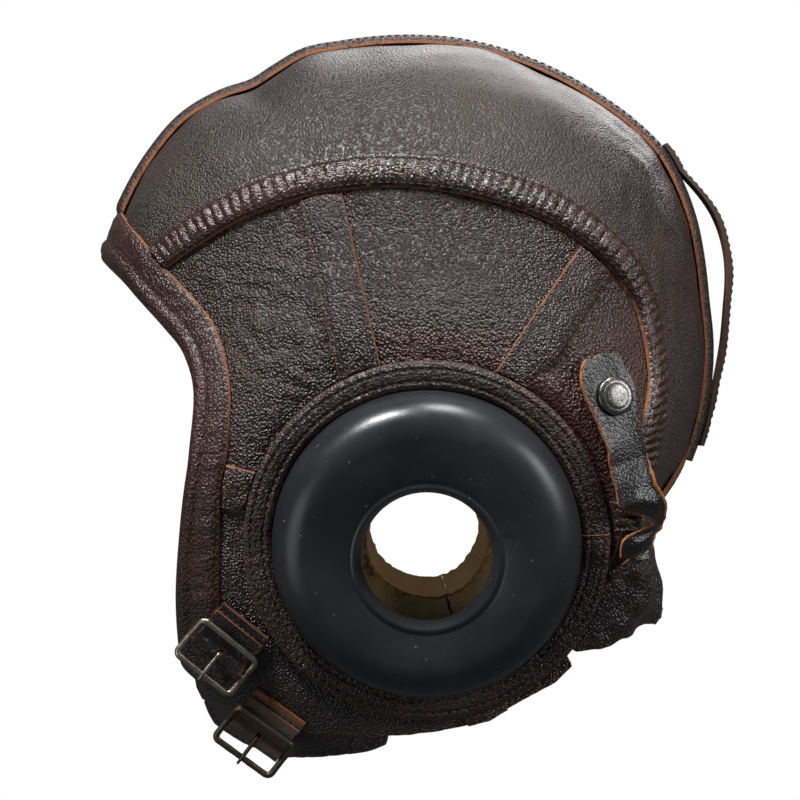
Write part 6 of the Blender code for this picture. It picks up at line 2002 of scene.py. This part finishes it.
def make_tab_fold(word, spine, out):
    """The thick torn edge along the folded foot of the tab."""
    count = len(spine)
    along = unit(np.gradient(spine, axis=0))
    out = unit(out)
    up = np.cross(along, out)
    turns = np.linspace(0, 2 * math.pi, TORN_EDGE_SIDES, endpoint=False)
    radius = np.interp(np.linspace(0, 1, count), (0, 0.15, 0.7, 1), (0.0005, 0.0012, 0.0011, 0.0003))
    rings = []
    for turn in turns:
        wobble = radius * (1 + waves(spine + out * math.cos(turn) * 0.002, 0.003, 105) * 0.22)
        rings.append(spine + (out * math.cos(turn) * 0.9 + up * math.sin(turn)) * wobble[:, None])
    points = np.stack(rings, axis=1)
    faces = tube_faces(count, len(turns), False)
    make(
        f"goggle_tab_{word}_torn_edge", points.reshape(-1, 3), faces, ("bright_edge",),
        body=f"goggle_tab_{word}", slot="strap_leather",
    )


def make_snap(word, side):
    frame = snap_frame(side)
    body = f"goggle_tab_{word}"
    under = tab_lift() - HARDWARE_GAP
    over = tab_lift() + TAB_LEATHER + HARDWARE_GAP
    top = over + SNAP_CAP_HEIGHT
    barrel_end = under - SNAP_SOCKET_HEIGHT / 3
    rim = SNAP_CAP_HEIGHT / 3
    cap = [(0, top)]
    for share in np.linspace(0.08, 0.80, CAP_STEPS):
        height = top - 0.0010 * share**2.6 - 0.00018 * hump(share, 0.70, 0.05)
        cap.append((SNAP_CAP_RADIUS * share, height))
    cap += [*arc((SNAP_CAP_RADIUS - CAP_ROUND, over + CAP_ROUND), CAP_ROUND, 80, -90, 8)]
    cap += [(SNAP_BARREL_RADIUS, over), (SNAP_BARREL_RADIUS, barrel_end), (0, barrel_end)]

    def dented(turn, radius):
        dent = math.exp(-((radius - 0.0028) / 0.0016) ** 2) * max(0, math.cos(turn - 0.8)) ** 2
        return -CAP_DENT * dent

    dome(
        f"snap_cap_{word}_metal", cap, frame, ("steel",), dented, body=body,
        nodes=(f"snap_cap_{word}",), slot="nickel",
    )
    bore = SNAP_STUD_RADIUS + SNAP_CLEARANCE
    low = under - SNAP_SOCKET_HEIGHT
    socket = [(bore, low + 0.0003), (bore, under), (SNAP_SOCKET_RADIUS, under)]
    socket += [*arc((SNAP_SOCKET_RADIUS - rim, low + rim), rim, 0, -90, 5)]
    socket += [(bore + 0.0008, low), (bore + 0.0005, low + 0.0001)]
    lathe(
        f"snap_socket_{word}_metal", socket, frame, ("steel",), sides=SOCKET_SIDES, body=body,
        nodes=(f"snap_socket_{word}",), slot="nickel",
    )
    base = PANEL_TOP + SNAP_SEAT_GAP
    stud_top = min(base + SNAP_STUD_BASE + SNAP_STUD_HEIGHT, barrel_end - SNAP_CLEARANCE)
    neck = SNAP_STUD_RADIUS * SNAP_NECK_SHARE
    high = base + SNAP_STUD_BASE
    stud = [
        (0, stud_top), (neck * 0.6, stud_top - 0.00005), (neck, stud_top - 0.0001),
        (SNAP_STUD_RADIUS * 0.95, stud_top - rim / 4), (SNAP_STUD_RADIUS, stud_top - rim / 2),
        (neck * 1.1, high + 0.0002), (neck, high), (SNAP_STUD_BASE_RADIUS * 0.9, high),
        (SNAP_STUD_BASE_RADIUS, high - 0.0002), (SNAP_STUD_BASE_RADIUS, base), (0, base),
    ]
    dome(f"snap_stud_{word}_metal", stud, frame, ("steel",), nodes=(f"snap_stud_{word}",), slot="nickel")


def make_rear_goggle_loop():
    share = np.linspace(0, 1, LOOP_ROWS)
    angles = LOOP_TOP_ANGLE + (LOOP_END_ANGLE - LOOP_TOP_ANGLE) * share
    widths = np.linspace(-1, 1, LOOP_COLUMNS)
    grid = np.stack([crown_points(angles, w * LOOP_WIDTH / 2) for w in widths], axis=1)
    free = np.clip((share - LOOP_SEWN_SHARE) / (1 - 2 * LOOP_SEWN_SHARE), 0, 1)
    stand = LOOP_BULGE * np.sin(math.pi * free**LOOP_SKEW_SHARE) ** 2
    lift = BAND_TOP + CROWN_STRIP_BULGE + SEAM_GAP + stand
    cup = 0.0004 * widths[None, :] ** 2 * np.sin(math.pi * free)[:, None]
    top = sheet(
        "rear_goggle_loop_leather", grid, lift[:, None], LOOP_LEATHER, ("strap", "edge"),
        detail=lambda p: cup + waves(p, 0.014, 111) * 0.0002, nodes=("rear_goggle_loop",),
        slot="strap_leather", rough=0.00008, edges="rrdd", drop=0.0003,
    )
    for edge in BOTH_EDGES:
        sew(top, edge, LOOP_INSET)
    sewn = int(LOOP_SEWN_SHARE * LOOP_ROWS) - 2
    for row in (3, sewn, LOOP_ROWS - 4, LOOP_ROWS - 1 - sewn):
        line = top[row, 1:-1]
        stitch(line, form_normal(on_form(line)), pitch=LOOP_END_PITCH)


# Buckles.
def folded_tab():
    """Middle line of the folded tab as (along, height) about the bar, with its two leaves."""
    radius = BAR_RADIUS + PRONG_CLEARANCE + TAB_STRAP_LEATHER / 2
    pinch = -radius + TAB_STRAP_LEATHER + SEAM_GAP
    leaf = TAB_STRAP_LENGTH * TAB_STRAP_LEAF_SHARE
    fold = arc((0, 0), radius, 90, -90, 14)
    rise = np.linspace(0, 1, 9)[1:-1]
    ramp = [(-TAB_STRAP_PINCH * (1 - s), pinch + (radius - pinch) * float(smooth_step(s))) for s in rise]
    upper = [(x, pinch) for x in np.linspace(-leaf, -TAB_STRAP_PINCH, 9)]
    lower = [(x, -radius) for x in np.linspace(-0.0008, -TAB_STRAP_LENGTH, 16)]
    return np.vstack([upper, ramp, fold, lower])


def make_buckle_tab(word, frame, looks, kinds, end_wear, torn_rows):
    centre, along, across, up = frame
    path = resampled(folded_tab(), BUCKLE_TAB_ROWS)
    step = unit(np.gradient(path, axis=0))
    normal = np.stack([-step[:, 1], step[:, 0]], axis=1)
    columns = np.linspace(-1, 1, BUCKLE_TAB_COLUMNS)
    mid = centre + along * path[:, :1] + up * path[:, 1:]
    out = along * normal[:, :1] + up * normal[:, 1:]
    ragged = waves(mid, 0.006, 121) * 0.0003
    wide = (TAB_STRAP_WIDTH / 2 + ragged[:, None] * np.abs(columns)) * columns
    middle = mid[:, None] + across * wide[..., None]
    rumple = waves(middle, 0.008, 122) * 0.00012 + waves(middle, 0.0028, 123) * 0.00005
    outward = out[:, None]
    half = TAB_STRAP_LEATHER / 2
    top = middle + outward * (half + rumple)[..., None]
    below = middle - outward * half
    run = arc_lengths(path)
    bend = np.clip(1 - np.abs(path[:, 0]) / 0.004, 0, 1) * (path[:, 0] > -0.003)
    slot_half = PRONG_SLOT_WIDTH / 2
    back = PRONG_RADIUS * 2 + BAR_RADIUS + PRONG_CLEARANCE * 2 + HARDWARE_GAP
    hole = (path[:, 0] > -back)[:, None] & (np.abs(wide) < slot_half)
    worn = 0.04 + end_wear * bend[:, None] * (0.5 + 0.5 * waves(middle, 0.004, 124))
    worn = np.clip(worn + 0.5 * (np.abs(columns) > 0.9), 0, 1)
    holed_sheet(
        f"buckle_tab_{word}_leather", top, below, hole, looks, kinds, worn, torn_rows,
        body=f"buckle_tab_{word}", nodes=(f"buckle_tab_{word}",), slot="strap_leather",
    )
    end = np.searchsorted(run, run[-1] - BUCKLE_TAB_INSET) - 1
    line = below[end, 1:-1]
    stitch(line, np.broadcast_to(up, line.shape), body=f"buckle_tab_{word}", pitch=BUCKLE_TAB_PITCH)


def holed_sheet(name, top, below, hole, looks, kinds, worn, torn_rows, **options):
    """A closed sheet with a patch of its squares left out, walls round the hole and a torn end."""
    rows, columns = top.shape[:2]
    index = np.arange(rows * columns).reshape(rows, columns)
    gone = hole[:-1, :-1] & hole[1:, :-1] & hole[1:, 1:] & hole[:-1, 1:]
    faces, slots = [], []

    def wall(a, b, kind):
        faces.append([a, b, b + rows * columns, a + rows * columns])
        slots.append(kind)

    for i in range(rows - 1):
        for j in range(columns - 1):
            if gone[i, j]:
                continue
            corners = [index[i, j], index[i + 1, j], index[i + 1, j + 1], index[i, j + 1]]
            faces.append(corners)
            slots.append(0)
            faces.append([c + rows * columns for c in corners[::-1]])
            slots.append(1 if i < rows - 1 - torn_rows else 2)
            for (di, dj), (p, q) in (
                ((-1, 0), (3, 0)), ((1, 0), (1, 2)), ((0, -1), (0, 1)), ((0, 1), (2, 3)),
            ):
                ni, nj = i + di, j + dj
                outside = not (0 <= ni < rows - 1 and 0 <= nj < columns - 1)
                if outside or gone[ni, nj]:
                    wall(corners[q], corners[p], 3 if not outside else 2)
    everything = np.concatenate([top.reshape(-1, 3), below.reshape(-1, 3)])
    used = sorted({v for face in faces for v in face})
    place = {v: k for k, v in enumerate(used)}
    faces = [[place[v] for v in face] for face in faces]
    painted = np.concatenate([worn.reshape(-1), worn.reshape(-1) * 0.5])[used]
    return make(name, everything[used], faces, (*looks, *kinds), slots, worn=painted, **options)


def wire(name, path, radius, up, looks, closed, flat=1.0, sides=WIRE_SIDES, **options):
    """A bent wire, flattened on its faces where flat is under 1."""
    if closed:
        along = unit(np.roll(path, -1, axis=0) - np.roll(path, 1, axis=0))
    else:
        along = unit(np.gradient(path, axis=0))
    aside = unit(np.cross(along, np.broadcast_to(up, path.shape)))
    rise = np.cross(aside, along)
    turns = np.linspace(0, 2 * math.pi, sides, endpoint=False)
    radius = np.broadcast_to(radius, len(path))[:, None, None]
    dull = waves(path, 0.006, 131)[:, None, None] * 0.03 + 1
    rings = path[:, None] + radius * dull * (
        np.cos(turns)[None, :, None] * aside[:, None]
        + np.sin(turns)[None, :, None] * rise[:, None] * flat
    )
    faces = tube_faces(len(path), sides, closed)
    return make(name, rings.reshape(-1, 3), faces, looks, **options)


def make_buckle_frame(word, frame, look):
    centre, along, across, up = frame
    half_long = BUCKLE_WIDTH / 2 - BUCKLE_WIRE
    half_short = BUCKLE_LENGTH / 2 - BUCKLE_WIRE
    corner = BUCKLE_CORNER * 1.25
    flat = []
    for turn, a, b in ((0, 1, 1), (90, -1, 1), (180, -1, -1), (270, 1, -1)):
        flat.append(arc((a * (half_short - corner), b * (half_long - corner)), corner, turn, turn + 90, 9))
    flat = np.concatenate(flat)
    flat = resampled(np.vstack([flat, flat[:1]]), FRAME_WIRE_STEPS)[:-1]
    height = BUCKLE_DISH * np.abs(flat[:, 0]) / half_short
    path = centre + along * flat[:, :1] + across * flat[:, 1:] + up * height[:, None]
    body = f"buckle_frame_{word}"
    names = {"body": body, "slot": "nickel"}
    wire(f"{body}_metal", path, BUCKLE_WIRE, up, (look,), True, 0.88, nodes=(body,), **names)
    reach = half_long - BUCKLE_WIRE * 0.2
    bar = centre + across * np.linspace(-reach, reach, BAR_STEPS)[:, None]
    wire(f"{body}_bar_metal", bar, BAR_RADIUS, up, (look,), False, **names)


def make_prong(word, frame, look):
    centre, along, across, up = frame
    loop = BAR_RADIUS + PRONG_CLEARANCE + PRONG_RADIUS
    rest = BUCKLE_DISH + BUCKLE_WIRE + PRONG_RADIUS + HARDWARE_GAP
    reach = BUCKLE_LENGTH / 2 - BUCKLE_WIRE
    loop_points = arc((0, 0), loop, *PRONG_LOOP_ANGLES, 24)
    tip = [(reach / 2, (loop + rest) / 2), (reach, rest), (reach + PRONG_OVERHANG, rest - 0.0001)]
    rows = np.vstack([loop_points[-1:], tip])
    knots = arc_lengths(rows)
    at = np.linspace(0, knots[-1], 30)[1:]
    run = np.stack([smooth_curve(rows[:, k], knots, at) for k in (0, 1)], axis=1)
    flat = np.vstack([loop_points, run])
    path = centre + along * flat[:, :1] + up * flat[:, 1:]
    lengths = arc_lengths(path)
    taper = np.clip((lengths[-1] - lengths) / 0.004, 0, 1)
    radius = PRONG_RADIUS * (0.62 + 0.38 * taper)
    body = f"buckle_prong_{word}"
    wire(
        f"{body}_metal", path, radius, across, (look,), False, body=body, nodes=(body,), slot="nickel",
    )


def make_buckle(word, foot_shares, slope, under, looks, kinds, end_wear, torn_rows, metal):
    frame = buckle_frame(foot_shares, slope, under)
    make_buckle_tab(word, frame, looks, kinds, end_wear, torn_rows)
    make_buckle_frame(word, frame, metal)
    make_prong(word, frame, metal)


def make_chin_strap():
    seat, normal, across, down = chin_strap_frame()
    root_lift = FLAP_GAP + LEATHER + CHIN_STRAP_GAP + CHIN_STRAP_LEATHER / 2
    root = seat - normal * root_lift
    start = root - down * CHIN_STRAP_OVERLAP
    share = np.linspace(0, 1, CHIN_STRAP_ROWS)
    sag = -CHIN_STRAP_SAG * np.sin(math.pi * share)
    run = root + np.array((0, -1.0, 0)) * (CHIN_STRAP_SPAN * share)[:, None]
    run = run + np.array((0, 0, 1)) * sag[:, None]
    path = np.vstack([start, run])
    along = unit(np.gradient(path, axis=0))
    face = unit(np.cross(along, across))
    columns = np.linspace(-1, 1, CHIN_STRAP_COLUMNS)
    lengths = arc_lengths(path)
    tip = np.clip((lengths[-1] - lengths) / (CHIN_STRAP_WIDTH * 0.5), 0, 1)
    half = CHIN_STRAP_WIDTH / 2 * np.sqrt(np.clip(1 - (1 - tip) ** 2, 0.10, 1))
    middle = path[:, None] + across * (half[:, None] * columns)[..., None]
    relief_here = waves(middle, 0.012, 141)[..., None] * 0.00012
    thick = face[:, None] * CHIN_STRAP_LEATHER / 2
    top = middle + thick + face[:, None] * relief_here
    below = middle - thick
    closed_sheet(
        "chin_strap_leather", top, below, ("strap", FLESH), "drrr", 0.00012, body="chin_strap",
        nodes=("chin_strap",), slot="strap_leather",
    )
    for edge in BOTH_EDGES:
        line = edge_rows(top, edge, CHIN_STRAP_INSET)
        stitch(line[3:-8], face[3:-8], body="chin_strap")


# Everything, then the studio.
make_crown_strip()
make_face_band()
make_nape_panel()
make_nape_elastic()
make_rear_goggle_loop()
for word, side in SIDES.items():
    make_crown_panel(word, side)
    make_side_panels(word, side)
    make_seam_band(word, side)
    make_seam_strips(word, side)
    make_chin_flap(word, side)
    make_lining(word, side)
    make_ear_ring(word, side)
    make_ear_cup(word, side)
    make_goggle_tab(word, side)
    make_snap(word, side)
make_buckle(
    "upper", UPPER_BUCKLE_SHARES, UPPER_BUCKLE_SLOPE, BAND_TOP - UPPER_BUCKLE_SINK,
    ("strap", "strap"), ("edge", "bright_edge"), 0.05, 1, "nickel",
)
# The lower buckle takes the darker copy of the nickel: painted shade under the jaw.
make_buckle(
    "lower", LOWER_BUCKLE_SHARES, LOWER_BUCKLE_SLOPE, LEATHER,
    ("brown_suede", "brown_suede"), ("edge", "bright_edge"), 0.4, 3, "dim",
)
make_chin_strap()
make_stitches()


def make_stage():
    """A pale floor well below the helmet; the white world around it is its backdrop."""
    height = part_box("chin_flap_left")[0][2] - STAGE_DROP
    corners = ((-1, -1), (1, -1), (1, 1), (-1, 1))
    mesh = bpy.data.meshes.new("floor")
    mesh.from_pydata([(x * STAGE_SIZE, y * STAGE_SIZE, height) for x, y in corners], [], [(0, 1, 2, 3)])
    mesh.materials.append(LOOKS["floor"])
    floor = bpy.data.objects.new("floor", mesh)
    floor.visible_diffuse = False
    floor.visible_glossy = False
    bpy.context.scene.collection.objects.link(floor)


def area_light(name, place, size, power):
    data = bpy.data.lights.new(name, "AREA")
    data.energy = power
    data.size = size
    light = bpy.data.objects.new(name, data)
    light.location = place
    light.rotation_euler = (Vector(LIGHT_TARGET) - Vector(place)).to_track_quat("-Z", "Y").to_euler()
    bpy.context.scene.collection.objects.link(light)


make_stage()
for settings in LIGHTS:
    area_light(**settings)

# The world lights the helmet softly, and is a white backdrop for the camera alone.
world = bpy.data.worlds.new("studio")
world.use_nodes = True
nodes, links = world.node_tree.nodes, world.node_tree.links
glow = nodes["Background"]
glow.inputs["Color"].default_value = (*WORLD_COLOUR, 1)
glow.inputs["Strength"].default_value = WORLD_STRENGTH
backdrop = nodes.new("ShaderNodeBackground")
backdrop.inputs["Color"].default_value = (1, 1, 1, 1)
mix = nodes.new("ShaderNodeMixShader")
links.new(nodes.new("ShaderNodeLightPath").outputs["Is Camera Ray"], mix.inputs["Fac"])
links.new(glow.outputs[0], mix.inputs[1])
links.new(backdrop.outputs[0], mix.inputs[2])
links.new(mix.outputs[0], nodes["World Output"].inputs["Surface"])
bpy.context.scene.world = world

camera_data = bpy.data.cameras.new("camera")
camera_data.sensor_width = SENSOR_WIDTH
camera_data.lens = LENS
camera_data.clip_end = 20
camera = bpy.data.objects.new("camera", camera_data)
camera.location = CAMERA_PLACE
camera.rotation_euler = (math.pi / 2, 0, 0)
bpy.context.scene.collection.objects.link(camera)
bpy.context.scene.camera = camera
bpy.context.scene.view_settings.view_transform = "Standard"
